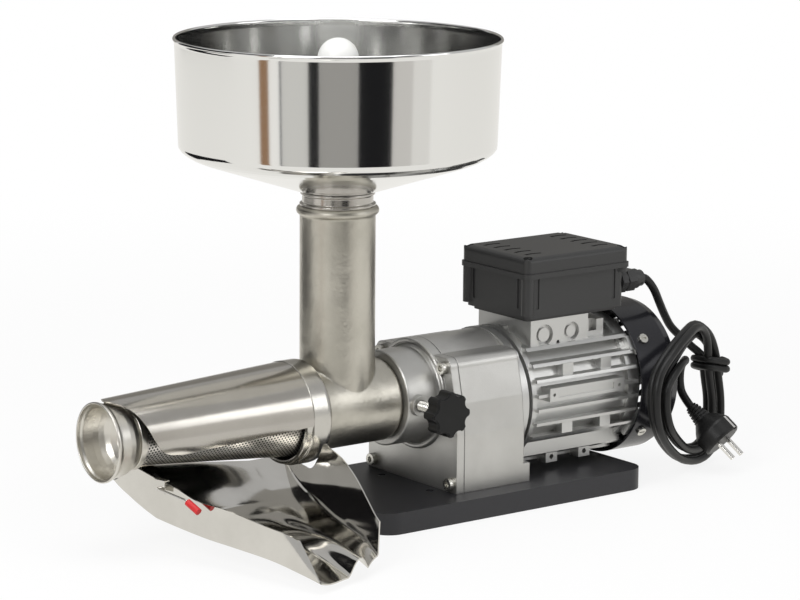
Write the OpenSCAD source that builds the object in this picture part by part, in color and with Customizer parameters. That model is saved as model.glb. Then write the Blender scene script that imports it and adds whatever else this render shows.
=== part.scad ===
// Electric tomato press: a screw press head clamped to a gear motor. Millimetres, +Z up.
// X runs along the screw, from the skins outlet (-X) to the motor fan (+X). The user stands at -Y.
// Z = 0 is the table. X = 0 is the middle of the base plate, Y = 0 is the screw axis.

/* [Base plate] */
// Length of the base plate along the screw
base_length = 294; // [240:1:340]
// Width of the base plate
base_width = 163; // [140:1:200]
// Thickness of the base plate
base_thickness = 19; // [12:0.5:24]
// Radius of the plate corners
base_corner = 18; // [10:1:40]
// How far the middle of the plate lies towards the user
base_offset = 4; // [0:1:10]
// Radius of the two fixing holes through the plate
base_hole_r = 3.5; // [2.5:0.5:5]
// Distance between the two fixing holes
base_hole_spacing = 70; // [50:1:100]
// Distance of the fixing holes from the plate end
base_hole_inset = 84; // [70:1:90]

/* [Screw line] */
// Distance from the plate end to the neck axis
neck_inset = 12; // [0:1:20]

/* [Head casting] */
// Outside radius of the neck
neck_r = 32.5; // [31.5:0.5:34]
// Bore radius of the neck
neck_bore = 27.5; // [24:0.5:28]
// Height of the neck mouth above the table
neck_top = 273; // [240:1:300]
// Outside radius of the ring round the neck mouth
mouth_r = 35.5; // [35:0.5:37]
// Thickness of the bead round the neck mouth
mouth_bead = 8; // [6:0.5:9]
// Radius of the seat for the hopper outlet
mouth_bore = 30.8; // [30:0.1:31]
// Depth of the seat for the hopper outlet
mouth_depth = 12; // [8:1:20]
// Outside radius of the barrel
barrel_r = 36.5; // [36:0.5:38]
// Bore radius of the barrel
barrel_bore = 30; // [28:0.5:31]
// Length of the barrel in front of the neck axis
barrel_front = 40; // [38:1:44]
// Length of the barrel behind the neck axis
barrel_rear = 46; // [44:1:50]
// Thickness of the wall behind the auger
barrel_end_wall = 9; // [7:1:12]
// Radius of the spigot that the gearbox nose clamps
spigot_r = 31; // [27:0.5:33]
// Length of the spigot
spigot_length = 22; // [16:1:23]

/* [Strainer, guard and outlet] */
// Distance from the neck axis to the outlet rim
outlet_reach = 243; // [225:1:260]
// Outside radius of the outlet rim
outlet_r = 33.7; // [30:0.5:37]
// Length of the outlet cup
outlet_length = 43; // [36:1:50]
// Outside radius where the outlet cup meets the strainer
waist_r = 24.5; // [22:0.5:26]
// Radius of the sheet ring behind the outlet cup
cup_ring_r = 28; // [27:0.5:30]
// Outside radius of the strainer at the barrel
strainer_r = 38.5; // [37:0.5:39]
// Sheet thickness of the strainer, guard and cup
sheet = 1; // [0.8:0.1:1.4]
// Outside radius of the front ring
ring_r = 45; // [44:0.5:48]
// Length of the front ring
ring_length = 23; // [20:1:26]
// Outside radius of the splash guard at its outlet end
guard_end_r = 37; // [35:0.5:40]
// Drop of the guard's lower edge below the axis at the outlet end
guard_drop_end = 15; // [8:1:20]
// Drop of the guard's lower edge below the axis at the ring
guard_drop_ring = 6; // [2:1:12]

/* [Auger] */
// Radius of the auger core
auger_core_r = 13; // [11:0.5:15]
// Pitch of the auger flight
auger_pitch = 44; // [36:1:52]
// Gap between the flight and the wall round it
auger_gap = 0.5; // [0.4:0.1:1.2]
// Radius of the auger journal
journal_r = 12; // [10:0.5:13]
// Width across the flats of the square drive
drive_square = 12; // [10:0.5:13]

/* [Hopper and pusher] */
// Outside radius of the hopper at its rim
hopper_r = 140; // [110:1:170]
// Outside radius at the foot of the hopper wall
hopper_foot_r = 135.7; // [100:0.5:136]
// Height of the hopper rim above the neck mouth
hopper_height = 144; // [120:1:180]
// Height of the foot of the hopper wall above the neck mouth
hopper_foot = 52; // [44:1:60]
// Height of the outlet tube above the neck mouth
outlet_tube = 12; // [8:1:16]
// Sheet thickness of the hopper
hopper_sheet = 1; // [0.8:0.1:1.5]
// Height of the top of the pusher above the neck mouth
pusher_height = 143; // [120:1:200]
// Radius of the pusher head
pusher_head_r = 17.5; // [14:0.5:20]
// Radius of the pusher foot
pusher_foot_r = 26.5; // [20:0.5:27]
// Radius of the pusher rod
pusher_rod_r = 9; // [7:0.5:12]

/* [Juice tray] */
// Sheet thickness of the tray
tray_sheet = 1.2; // [1:0.1:1.6]
// Half width of the tray at the back
tray_back_half = 92; // [86:1:94]
// Half width of the tray at the spout
tray_spout_half = 39; // [30:1:50]
// Distance of the spout in front of the screw axis
tray_reach = 183; // [160:1:210]
// Distance of the tray's back edge behind the screw axis
tray_back = 42; // [34:1:48]
// Distance of the tray's outlet-side corner behind the outlet rim
tray_inset = 33; // [28:1:36]
// Height that the back edge rises at the outlet side
tray_lip = 12; // [8:1:13]
// How far the outlet-side lobe of the spout stands out
tray_lobe = 11; // [4:1:14]
// Height of the ridge between the two spout channels
tray_ridge = 13; // [6:1:16]
// Radius of the latch wire
latch_wire_r = 1.25; // [1:0.05:1.5]
// Length of the latch wire
latch_length = 47; // [42:1:52]
// Radius of the latch sleeve
latch_sleeve_r = 3; // [2.5:0.1:3.2]

/* [Gearbox] */
// Width of the gearbox
gearbox_width = 128; // [122:1:136]
// Height up to which the gearbox sides stand upright
gearbox_side = 70; // [50:1:80]
// Half width of the gearbox at its shoulders
shoulder_half = 54; // [53:0.5:57]
// Height of the shoulders above the screw axis
shoulder_rise = 30; // [26:1:33]
// Radius of the shoulders
shoulder_r = 9; // [8:0.5:10]
// Length of the gearbox housing
gearbox_length = 66; // [64:1:72]
// Wall of the gearbox housing
gearbox_wall = 5; // [4:0.5:6]
// Thickness of the cover plate
cover_plate = 8; // [6:0.5:10]
// Outside radius of the clamp nose
nose_r = 42; // [40:0.5:44]
// Radius of the arch over the gearbox
arch_r = 49; // [48:0.5:52]
// Radius of the cover screw heads
cover_screw_r = 5.5; // [4:0.5:6]

/* [Gears] */
// Module of the motor stage
module_one = 1; // [1:0.05:1.1]
// Teeth of the motor pinion
teeth_motor = 12; // [10:1:14]
// Teeth of the layshaft gear
teeth_lay_gear = 52; // [48:1:54]
// Module of the output stage
module_two = 1.5; // [1.4:0.05:1.6]
// Teeth of the layshaft pinion
teeth_lay_pinion = 12; // [10:1:14]
// Teeth of the output gear
teeth_output = 45; // [42:1:48]
// Side play of each tooth
backlash = 0.12; // [0.08:0.01:0.2]
// Gap between the layshaft gear and the gearbox floor
lay_gap = 4.8; // [4:0.1:8]
// Direction of the layshaft from the motor shaft, off straight down
lay_angle = 14; // [8:1:18]

/* [Clamp] */
// Radius of the clamp stud
stud_r = 5; // [4:0.5:6]
// Radius of the lobed knob
knob_r = 20; // [16:0.5:25]
// Length of the lobed knob
knob_length = 20; // [16:1:28]
// Number of lobes
knob_lobes = 8; // [5:1:9]
// Distance of the knob face from the screw axis
knob_reach = 90; // [84:1:100]
// Distance of the clamp stud from the nose face
stud_inset = 10; // [9:0.5:12]

/* [Motor] */
// Length of the finned frame
frame_length = 116; // [110:1:130]
// Radius of the frame under the fins
frame_r = 57; // [55:0.5:59]
// Height of the fins
fin_h = 9; // [5:0.5:10]
// How far the long side pads reach past the frame, less 7
pad_out = 4; // [3:0.5:5]
// Thickness of a fin
fin_t = 2.8; // [2:0.1:4]
// Distance from fin to fin
fin_pitch = 13; // [10:0.5:14]
// Radius of the fan cover
fan_cover_r = 70; // [68:0.5:76]
// Length of the fan cover
fan_cover_length = 50; // [44:1:60]

/* [Terminal box] */
// Length of the terminal box lid
lid_length = 121; // [114:1:130]
// Width of the terminal box lid
lid_width = 96; // [90:1:104]
// Height of the lid
lid_height = 20; // [15:1:26]
// Step from the lid in to the box
lid_step = 4.5; // [3:0.5:6]
// How far the lip round the lid's foot stands out
lid_lip = 1.2; // [0.5:0.1:2]
// Radius of the lid's upper edges
lid_round = 5.4; // [3:0.2:7]
// Height of the box under the lid
box_height = 38; // [34:1:46]
// Height of the underside of the box above the table
box_floor = 157; // [155:1:164]
// Wall of the box and the lid
box_wall = 2.5; // [2:0.1:3.5]
// Vent slots in each row on the lid
vent_count = 5; // [3:1:6]

/* [Mains lead] */
// Diameter of the cord
cord_d = 7.6; // [6:0.1:8.5]
// Height of the tied hank
hank_height = 139; // [110:1:150]
// Width of the tied hank
hank_width = 76; // [55:1:76]
// Thickness of the tied hank
hank_depth = 26; // [20:1:32]

/* [Hidden] */
$fn = 72;
fine = 0.05;
air = 0.3;
// The gears set the height of the screw axis, the layshaft and the motor shaft
centre_one = module_one * (teeth_motor + teeth_lay_gear) / 2;
centre_two = module_two * (teeth_lay_pinion + teeth_output) / 2;
lay_y = centre_one * sin(lay_angle);
lay_swing = asin(lay_y / centre_two);
lay_low = base_thickness + gearbox_wall + lay_gap + module_one * (teeth_lay_gear / 2 + 1);
axis_height = ceil(lay_low + centre_two * cos(lay_swing));
lay_z = axis_height - centre_two * cos(lay_swing);
motor_z = lay_z + centre_one * cos(lay_angle);
// Stations along the screw, measured from the neck axis
neck_x = -base_length / 2 + neck_inset;
nose_x = neck_x + barrel_rear;
web_x = nose_x + spigot_length + 2;
cover_x = nose_x + 36;
housing_x = cover_x + cover_plate;
gasket = 0.5;
shell_x = housing_x + gasket;
motor_x = shell_x + gearbox_length;
shield = 12;
frame_x = motor_x + shield;
rear_x = frame_x + frame_length;
fan_x = rear_x + shield;
pressure = 25;
// Gear planes
stage_two_x = housing_x + 8.5;
stage_two_w = 14;
stage_one_x = stage_two_x + stage_two_w + 14;
stage_one_w = 15;
bearing_w = 10;
bearing_r = 17.5;
shaft_r = 8.5;
bush_r = 9;
lay_shaft_r = 6;
// Hopper levels
mouth_clear = 0.3;
tube_r = mouth_bore - mouth_clear;
// Barrel fittings
seat_x = neck_x - barrel_front;
ring_x = min(seat_x + 7, neck_x - neck_r - 0.5);
ring_front = seat_x + 7 - ring_length;
strainer_end = neck_x - outlet_reach + outlet_length;
// Box levels
lid_y = -2;
lid_z = box_floor + box_height;
lid_x = motor_x + 12;
box_length = lid_length - 2 * lid_step;
box_width = lid_width - 2 * lid_step;
gland_y = lid_y - 33;
gland_z = box_floor + box_height * 0.63;
gland_x = lid_x + lid_length - lid_step;
gland_reach = 28;
pedestal_x = frame_x + 12;
pedestal_y = -5;
pedestal_l = 66;
pedestal_w = 74;
// Directions of the four fan cover screws, from straight up
fan_arms = [53, 127, 233, 307];
arm_x = rear_x + 15;
// Clamp
stud_x = nose_x + stud_inset;
boss_y = nose_r + 5;
knob_y = -knob_reach;
// Cord route: from the gland, over and down beside the fan cover, to the top of the hank
hank_x = 244;
hank_y = -34;
cord_route = [
    [gland_x + gland_reach - 3, gland_y, gland_z],
    [gland_x + gland_reach + 2, gland_y, gland_z - 0.6],
    [188, -35, 176],
    [196, -35, 168],
    [205, -35, 156],
    [216, -35, 141],
    [226, -35, 126]
];
plug_at = [242.5, -81.7, 28.8];
plug_dir = [0.3, -0.7, -0.65];
plug_r = 19;
plug_l = 44;

// Helpers

// Turns a shape drawn along +Z so that it runs along +X from the given place
module along_x(x, y, z) {
    translate([x, y, z]) rotate([0, 90, 0]) children();
}

// A disc or tube along +X
module disc_x(x, y, z, r, length, hole = 0) {
    along_x(x, y, z) difference() {
        cylinder(r = r, h = length);
        if (hole > 0) translate([0, 0, -1]) cylinder(r = hole, h = length + 2);
    }
}

// A revolve about the screw axis; the outline holds [radius, x] pairs
module spun(outline, z = axis_height) {
    along_x(0, 0, z) rotate_extrude() polygon(outline);
}

// A rectangle with round corners
module round_rect(l, w, r) {
    square([l - 2 * r, w], center = true);
    square([l, w - 2 * r], center = true);
    for (sx = [-1, 1], sy = [-1, 1]) translate([sx * (l / 2 - r), sy * (w / 2 - r)]) circle(r = r);
}

function inv(a) = tan(a) * 180 / PI - a;
function polar(r, a) = [r * cos(a), r * sin(a)];

// Half the tooth angle at radius r
function half_tooth(m, z, r) =
    let (rp = m * z / 2, rb = rp * cos(pressure), at = max(r, rb))
    90 / z + inv(pressure) - inv(acos(rb / at)) - backlash / 2 / rp * 180 / PI;

// One tooth outline, from root to root
function tooth(m, z, turn) =
    let (rp = m * z / 2, rb = rp * cos(pressure), root = rp - 1.05 * m, low = max(rb, root + 0.1 * m))
    let (top = rp + 0.8 * m, radii = [for (k = [0:3]) low + (top - low) * k / 3])
    concat(
        [polar(root, turn - half_tooth(m, z, low) - 0.5)],
        [for (r = radii) polar(r, turn - half_tooth(m, z, r))],
        [for (k = [3:-1:0]) polar(radii[k], turn + half_tooth(m, z, radii[k]))],
        [polar(root, turn + half_tooth(m, z, low) + 0.5)]
    );

// A spur gear along +X, with one tooth (or gap) turned to the given angle
module gear_x(x, y, z, m, teeth, width, hole, turn) {
    along_x(x, y, z) difference() {
        linear_extrude(height = width)
            polygon([for (k = [0:teeth - 1]) each tooth(m, teeth, turn + k * 360 / teeth)]);
        if (hole > 0) translate([0, 0, -1]) cylinder(r = hole, h = width + 2);
    }
}

// Stand

module base_plate() {
    color([0.03, 0.03, 0.035]) difference() {
        translate([0, -base_offset, 0]) linear_extrude(height = base_thickness)
            round_rect(base_length, base_width, base_corner);
        for (s = [-1, 1]) base_hole_at(s) translate([0, 0, -1]) cylinder(r = base_hole_r, h = base_thickness + 2);
        for (p = foot_screws()) translate([p[0], p[1], -1]) {
            cylinder(r = 7, h = base_thickness - 8);
            cylinder(r = 4 + fine, h = base_thickness + 2);
        }
    }
}

module base_hole_at(s) {
    translate([-base_length / 2 + base_hole_inset, -base_offset + s * base_hole_spacing / 2, 0]) children();
}

function foot_screws() = [
    for (sx = [0.22, 0.82], sy = [-1, 1])
    [shell_x + gearbox_length * sx, sy * (gearbox_width / 2 - 22)]
];

module base_screws() {
    color([0.6, 0.6, 0.62]) for (p = foot_screws()) translate([p[0], p[1], base_thickness - 15]) difference() {
        union() {
            cylinder(r = 6.5, h = 6);
            cylinder(r = 4, h = 15 + gearbox_wall + 3);
        }
        translate([0, 0, -1]) cylinder(r = 3, h = 4, $fn = 6);
    }
}

// Gearbox

module gearbox_outline(inset = 0) {
    half = gearbox_width / 2 - inset;
    low = base_thickness + inset;
    shoulder = shoulder_half - inset;
    top = axis_height + shoulder_rise;
    polygon([
        [-half, low], [half, low], [half, gearbox_side], [half - 3, gearbox_side + 28], [shoulder, top],
        [shoulder_half - shoulder_r, top + shoulder_r - inset], [shoulder_r - shoulder_half, top + shoulder_r - inset],
        [-shoulder, top], [3 - half, gearbox_side + 28], [-half, gearbox_side]
    ]);
    for (s = [-1, 1]) translate([s * (shoulder_half - shoulder_r), top]) circle(r = shoulder_r - inset);
    translate([0, axis_height]) circle(r = arch_r - inset);
}

// Draws a Y-Z outline and gives it a length along +X
module wall_x(x, length) {
    translate([x, 0, 0]) rotate([90, 0, 90]) linear_extrude(height = length) children();
}

module gearbox_housing() {
    color([0.62, 0.62, 0.6]) difference() {
        union() {
            difference() {
                wall_x(shell_x, gearbox_length) gearbox_outline();
                wall_x(shell_x - 1, gearbox_length - gearbox_wall + 1) gearbox_outline(gearbox_wall);
            }
            for (p = cover_screw_places()) {
                disc_x(shell_x, p[0], p[1], 6, 22);
                if (p[1] > axis_height) translate([shell_x, p[0] - 4, p[1]]) cube([22, 8, shoulder_r - 1.5]);
            }
            disc_x(motor_x - gearbox_wall - 7, lay_y, lay_z, bush_r + 4, 8);
            for (p = foot_screws()) translate([p[0], p[1], base_thickness]) cylinder(r = 8, h = gearbox_wall + 6);
            for (s = [-1, 1]) translate([motor_x - 4, s * (gearbox_width / 2 - 5) - 5, base_thickness]) cube([11, 10, 17]);
        }
        disc_x(motor_x - gearbox_wall - 8, lay_y, lay_z, bush_r + fine, 10);
        disc_x(motor_x - 12, 0, motor_z, 8, 20);
        for (p = cover_screw_places()) disc_x(shell_x - 1, p[0], p[1], 3 + fine, 19);
        for (p = foot_screws()) translate([p[0], p[1], base_thickness - 1]) cylinder(r = 4 + fine, h = gearbox_wall + 5);
    }
}

function cover_screw_places() = [
    [shoulder_r - shoulder_half, axis_height + shoulder_rise],
    [shoulder_half - shoulder_r, axis_height + shoulder_rise],
    [-gearbox_width / 2 + 8, base_thickness + 8],
    [gearbox_width / 2 - 8, base_thickness + 8]
];

module gearbox_cover() {
    color([0.64, 0.64, 0.62]) difference() {
        union() {
            wall_x(cover_x, cover_plate) gearbox_outline();
            spun([[0, nose_x], [nose_r - 1, nose_x], [nose_r, nose_x + 1], [nose_r, cover_x - 5], [nose_r + 1.2, cover_x - 2.5],
                [nose_r + 3, cover_x - 1.2], [arch_r - 4, cover_x - 1.2], [arch_r - 3.5, cover_x - 3], [arch_r - 1, cover_x - 3],
                [arch_r, cover_x - 2], [arch_r, cover_x + 1], [0, cover_x + 1]]);
            disc_x(cover_x, 0, axis_height, bearing_r + 6, 14);
            disc_x(cover_x, lay_y, lay_z, bush_r + 3, 13);
            translate([stud_x, 0, axis_height]) rotate([90, 0, 0]) cylinder(r = 9, h = boss_y);
        }
        disc_x(nose_x - 1, 0, axis_height, spigot_r + fine, web_x - nose_x + 1);
        disc_x(web_x - 1, 0, axis_height, shaft_r + 4, 60);
        disc_x(web_x + 6, 0, axis_height, bearing_r + fine, 2 * bearing_w + 2 * fine + 30);
        disc_x(web_x - 1, 0, axis_height, 15 + fine, 6);
        disc_x(cover_x + 4, lay_y, lay_z, bush_r + fine, 20);
        translate([stud_x, 0, axis_height]) rotate([90, 0, 0]) cylinder(r = stud_r + fine, h = boss_y + 1);
        for (p = cover_screw_places()) {
            disc_x(cover_x - 1, p[0], p[1], 3 + fine, cover_plate + 2);
            disc_x(cover_x - 9, p[0], p[1], cover_screw_r + 0.4, 9);
        }
    }
}

module cover_gasket() {
    color([0.2, 0.22, 0.2]) difference() {
        wall_x(housing_x, gasket) gearbox_outline();
        wall_x(housing_x - 1, gasket + 2) gearbox_outline(gearbox_wall);
        for (p = cover_screw_places()) disc_x(housing_x - 1, p[0], p[1], 3 + fine, 3);
    }
}

module cover_screws() {
    color([0.5, 0.5, 0.52]) for (p = cover_screw_places()) difference() {
        union() {
            disc_x(cover_x - 5, p[0], p[1], cover_screw_r, 5);
            disc_x(cover_x - 1, p[0], p[1], 3, 24);
        }
        along_x(cover_x - 6, p[0], p[1]) cylinder(r = 2.9, h = 4, $fn = 6);
    }
}

module output_bearings() {
    color([0.7, 0.7, 0.72]) for (k = [0, 1]) {
        disc_x(web_x + 6 + k * (bearing_w + 2), 0, axis_height, bearing_r, bearing_w, bearing_r - 4);
        disc_x(web_x + 6 + k * (bearing_w + 2), 0, axis_height, bearing_r - 4, bearing_w, shaft_r + fine);
    }
}

module output_seal() {
    color([0.06, 0.06, 0.06]) disc_x(web_x, 0, axis_height, 15, 5, shaft_r + 2.5 + air);
}

module lay_bushes() {
    color([0.72, 0.55, 0.3]) {
        disc_x(cover_x + 4, lay_y, lay_z, bush_r, 8.5, lay_shaft_r + fine);
        disc_x(motor_x - gearbox_wall - 7, lay_y, lay_z, bush_r, 8, lay_shaft_r + fine);
    }
}

// Motor

module motor_front_shield() {
    color([0.6, 0.6, 0.6]) difference() {
        union() {
            disc_x(motor_x, 0, motor_z, frame_r + 4, shield - 4);
            disc_x(motor_x, 0, motor_z, frame_r - 6, shield);
            for (a = [45:90:315]) pad_round_motor(a, motor_x, shield - 5.5, 7);
        }
        disc_x(motor_x - 1, 0, motor_z, 8, shield + 2);
        disc_x(motor_x + 2, 0, motor_z, bearing_r + fine, shield);
    }
}

module pad_round_motor(a, x, length, r) {
    translate([0, 0, motor_z]) rotate([a, 0, 0]) disc_x(x, 0, frame_r, r, length);
}

module motor_rear_shield() {
    color([0.6, 0.6, 0.6]) difference() {
        union() {
            disc_x(rear_x, 0, motor_z, frame_r + 4, shield - 4);
            disc_x(rear_x, 0, motor_z, 24, shield);
            for (a = fan_arms) rotate_about_motor(a)
                translate([rear_x, -7, frame_r - 4]) cube([arm_x - rear_x + 5, 14, fan_cover_r - 3.2 - frame_r + 4]);
        }
        disc_x(rear_x - 1, 0, motor_z, bearing_r + fine, shield - 1);
        disc_x(rear_x - 1, 0, motor_z, 8, shield + 2);
        for (a = fan_arms) rotate_about_motor(a) translate([arm_x, 0, frame_r + 1]) cylinder(r = 2.5 + fine, h = 30);
    }
}

module rotate_about_motor(a) {
    translate([0, 0, motor_z]) rotate([a, 0, 0]) children();
}

module motor_bearings() {
    color([0.7, 0.7, 0.72]) for (x = [motor_x + 2, rear_x]) {
        disc_x(x, 0, motor_z, bearing_r, bearing_w, bearing_r - 4);
        disc_x(x, 0, motor_z, bearing_r - 4, bearing_w, 7.5 + fine);
    }
}

// Level fins on both sides and upright fins below, cut to one round outline
module frame_fins() {
    difference() {
        intersection() {
            disc_x(frame_x + 3, 0, motor_z, frame_r + fin_h, frame_length);
            union() {
                for (k = [-3:3]) translate([frame_x, -80, motor_z + 7 + k * fin_pitch - fin_t / 2]) cube([frame_length + 5, 160, fin_t]);
                for (k = [-3:3]) translate([frame_x, k * fin_pitch - fin_t / 2, motor_z - 80]) cube([frame_length + 5, fin_t, 80]);
            }
        }
        disc_x(rear_x, 0, motor_z, frame_r + 4.4, 8);
        for (a = fan_arms) rotate_about_motor(a) translate([rear_x, -7.4, frame_r - 5]) cube([8, 14.8, 20]);
    }
}

// Cast pads between the fins on both sides
module frame_pads() {
    for (s = [-1, 1]) {
        for (x = [frame_x + 35.5, frame_x + 79.5], k = [1.5, -2.5])
            translate([x, s * (frame_r - 4) - 6, motor_z + 7 + k * fin_pitch - 5.5]) cube([12, 12, 11]);
        // A long pad that stands past the fins, with a channel and a screw hole at each end
        translate([frame_x + 14, s * (frame_r + pad_out / 2), motor_z + 7.5]) difference() {
            translate([0, -pad_out / 2 - 7, -6]) cube([frame_length - 30, pad_out + 14, 12]);
            translate([10, s * (pad_out / 2 + 7) - 1.5, -3]) cube([frame_length - 52, 3, 6]);
            for (x = [5, frame_length - 36])
                translate([x, s * (pad_out / 2 + 8), 0]) rotate([s * 90, 0, 0]) cylinder(r = 1.5, h = 7);
        }
    }
    // Lugs along the bottom, on both sides
    for (x = [frame_x + 34, frame_x + 72], s = [-1, 1]) translate([x, s * 33 - 6, motor_z - 62]) difference() {
        cube([13, 12, 22]);
        translate([6.5, -1, 5]) rotate([-90, 0, 0]) cylinder(r = 2.2, h = 14);
    }
}

module motor_frame() {
    color([0.58, 0.58, 0.57]) difference() {
        union() {
            disc_x(frame_x, 0, motor_z, frame_r, frame_length);
            for (x = [frame_x, rear_x - 5]) disc_x(x, 0, motor_z, frame_r + 4, 5);
            frame_fins();
            frame_pads();
            pedestal();
        }
        disc_x(frame_x - 1, 0, motor_z, 50 + fine, frame_length + 2);
        translate([pedestal_x + 8, pedestal_y - 24, motor_z + 40]) cube([pedestal_l - 16, 48, box_floor - motor_z]);
        knock_out(pedestal_x + 16, 9.5);
        knock_out(pedestal_x + 47, 8.5);
        translate([pedestal_x - 7, pedestal_y, box_floor - 15]) rotate([0, 90, 0]) cylinder(r = 2.2, h = 12);
        translate([pedestal_x + 31.5, pedestal_y - pedestal_w / 2 - 1, box_floor - 22]) rotate([-90, 0, 0]) cylinder(r = 1.7, h = 8);
    }
}

// A blind entry in the user's side of the pedestal: a ring round a disc
module knock_out(x, r) {
    translate([x, pedestal_y - pedestal_w / 2 - 1, box_floor - 14]) rotate([-90, 0, 0]) difference() {
        cylinder(r = r, h = 5);
        translate([0, 0, 2]) cylinder(r = r - 3.2, h = 4);
    }
}

module pedestal() {
    translate([pedestal_x, pedestal_y - pedestal_w / 2, motor_z + 44])
        cube([pedestal_l, pedestal_w, box_floor - motor_z - 44]);
    translate([pedestal_x - 5, pedestal_y - 5, box_floor - 20]) cube([6, 10, 11]);
    // A cast block behind the pedestal, with a notch
    translate([pedestal_x + pedestal_l - 1, pedestal_y - 31, motor_z + 40]) difference() {
        cube([24, 26, box_floor - motor_z - 48]);
        translate([7, -1, box_floor - motor_z - 58]) cube([9, 7, 20]);
    }
}

module stator_core() {
    color([0.4, 0.42, 0.45]) disc_x(frame_x + 22, 0, motor_z, 50, frame_length - 40, 30);
}

module stator_windings() {
    color([0.6, 0.3, 0.12]) for (x = [frame_x + 8, rear_x - 18]) disc_x(x, 0, motor_z, 46, 14, 33);
}

module rotor_core() {
    color([0.55, 0.55, 0.56]) disc_x(frame_x + 22, 0, motor_z, 29.6, frame_length - 40, 9 + fine);
}

module motor_shaft() {
    color([0.72, 0.72, 0.74]) {
        disc_x(motor_x + 1, 0, motor_z, 7.5, rear_x - motor_x + 11);
        disc_x(frame_x + 14, 0, motor_z, 9, frame_length - 26);
        disc_x(stage_one_x, 0, motor_z, 4.8, motor_x - stage_one_x + 2);
        gear_x(stage_one_x, 0, motor_z, module_one, teeth_motor, stage_one_w, 0, lay_turn());
        disc_x(rear_x + 8, 0, motor_z, 6, 26);
    }
}

// Angle, in a gear's own plane, of the direction from the motor shaft down to the layshaft
function lay_turn() = atan2(lay_y, motor_z - lay_z);
function out_turn() = atan2(lay_y, axis_height - lay_z);

module motor_fan() {
    color([0.1, 0.1, 0.11]) {
        disc_x(fan_x + 4, 0, motor_z, 13, 18, 6 + fine);
        disc_x(fan_x + 4, 0, motor_z, 50, 2, 12);
        for (a = [0:45:315]) rotate_about_motor(a) translate([fan_x + 5, -1.2, 11]) cube([17, 2.4, 39]);
    }
}

module fan_cover() {
    end_x = rear_x + 4 + fan_cover_length;
    color([0.02, 0.02, 0.022]) difference() {
        spun([[fan_cover_r - 2, rear_x + 4], [fan_cover_r, rear_x + 4], [fan_cover_r, end_x - 14],
            [fan_cover_r - 2.5, end_x - 6], [fan_cover_r - 8, end_x - 1], [fan_cover_r - 13, end_x],
            [0, end_x], [0, end_x - 2], [fan_cover_r - 14, end_x - 2], [fan_cover_r - 9, end_x - 3.2],
            [fan_cover_r - 4.5, end_x - 7.5], [fan_cover_r - 2, end_x - 15]], motor_z);
        for (a = [45:90:315], r = [16, 26, 36, 46]) rotate_about_motor(a)
            along_x(end_x - 5, 0, 0) rotate_extrude(angle = 74, start = 143) translate([r, 0]) square([5, 8]);
        for (a = fan_arms) rotate_about_motor(a) translate([arm_x, 0, fan_cover_r - 6]) cylinder(r = 2.5 + fine, h = 12);
    }
}

module fan_cover_screws() {
    color([0.75, 0.75, 0.72]) for (a = fan_arms) rotate_about_motor(a) difference() {
        union() {
            translate([arm_x, 0, frame_r + 3]) cylinder(r = 2.5, h = fan_cover_r - frame_r - 1);
            translate([arm_x, 0, fan_cover_r]) cylinder(r = 4.5, h = 2.4);
        }
        translate([arm_x - 3, -0.6, fan_cover_r + 1]) cube([6, 1.2, 3]);
    }
}

// Terminal box

module terminal_box() {
    cx = lid_x + lid_length / 2;
    color([0.03, 0.03, 0.035]) difference() {
        union() {
            translate([cx, lid_y, box_floor + 3]) linear_extrude(height = box_height - 3) round_rect(box_length, box_width, 5);
            translate([cx, lid_y, box_floor]) linear_extrude(height = 3) round_rect(box_length - 8, box_width - 8, 5);
            for (p = post_places()) translate([p[0], p[1], post_foot(p)]) cylinder(r = 5.5, h = lid_z + 1 - post_foot(p));
        }
        translate([cx, lid_y, box_floor + box_wall + 1]) linear_extrude(height = box_height)
            round_rect(box_length - 2 * box_wall, box_width - 2 * box_wall, 0.5);
        translate([pedestal_x + 16, pedestal_y - 18, box_floor - 1]) cube([24, 36, 12]);
        disc_x(gland_x - 10, gland_y, gland_z, 7 + fine, 20);
        for (p = post_places()) translate([p[0], p[1], lid_z - 4.5]) cylinder(r = 1.8 + fine, h = 8);
        // Upright grooves beside the corners
        for (sx = [-1, 1], sy = [-1, 1])
            translate([cx + sx * (box_length / 2 - 12) - 1.7, lid_y + sy * box_width / 2 - 0.9, box_floor + 11])
                cube([3.4, 1.8, box_height]);
        for (sy = [-1, 1])
            translate([cx - box_length / 2 - 0.9, lid_y + sy * (box_width / 2 - 12) - 1.7, box_floor + 11])
                cube([1.8, 3.4, box_height]);
    }
}

function post_places() = [
    for (sx = [-1, 1], sy = [-1, 1])
    [lid_x + lid_length / 2 + sx * (lid_length / 2 - 6.5), lid_y + sy * (lid_width / 2 - 6.5)]
];

// The post over the cable gland is cut short
function post_foot(p) = p[0] > lid_x + lid_length / 2 && p[1] < lid_y ? gland_z + 10.5 : box_floor + 6;

module lid_gasket() {
    cx = lid_x + lid_length / 2;
    color([0.12, 0.12, 0.12]) translate([cx, lid_y, lid_z]) linear_extrude(height = 1) difference() {
        union() {
            difference() {
                round_rect(box_length - 1, box_width - 1, 4.5);
                round_rect(box_length - 2 * box_wall + 1, box_width - 2 * box_wall + 1, 2.5);
            }
            intersection() {
                round_rect(box_length - 1, box_width - 1, 4.5);
                for (p = post_places()) translate([p[0] - cx, p[1] - lid_y]) circle(r = 8.5);
            }
        }
        for (p = post_places()) translate([p[0] - cx, p[1] - lid_y]) circle(r = 5.5 + fine);
    }
}

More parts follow.
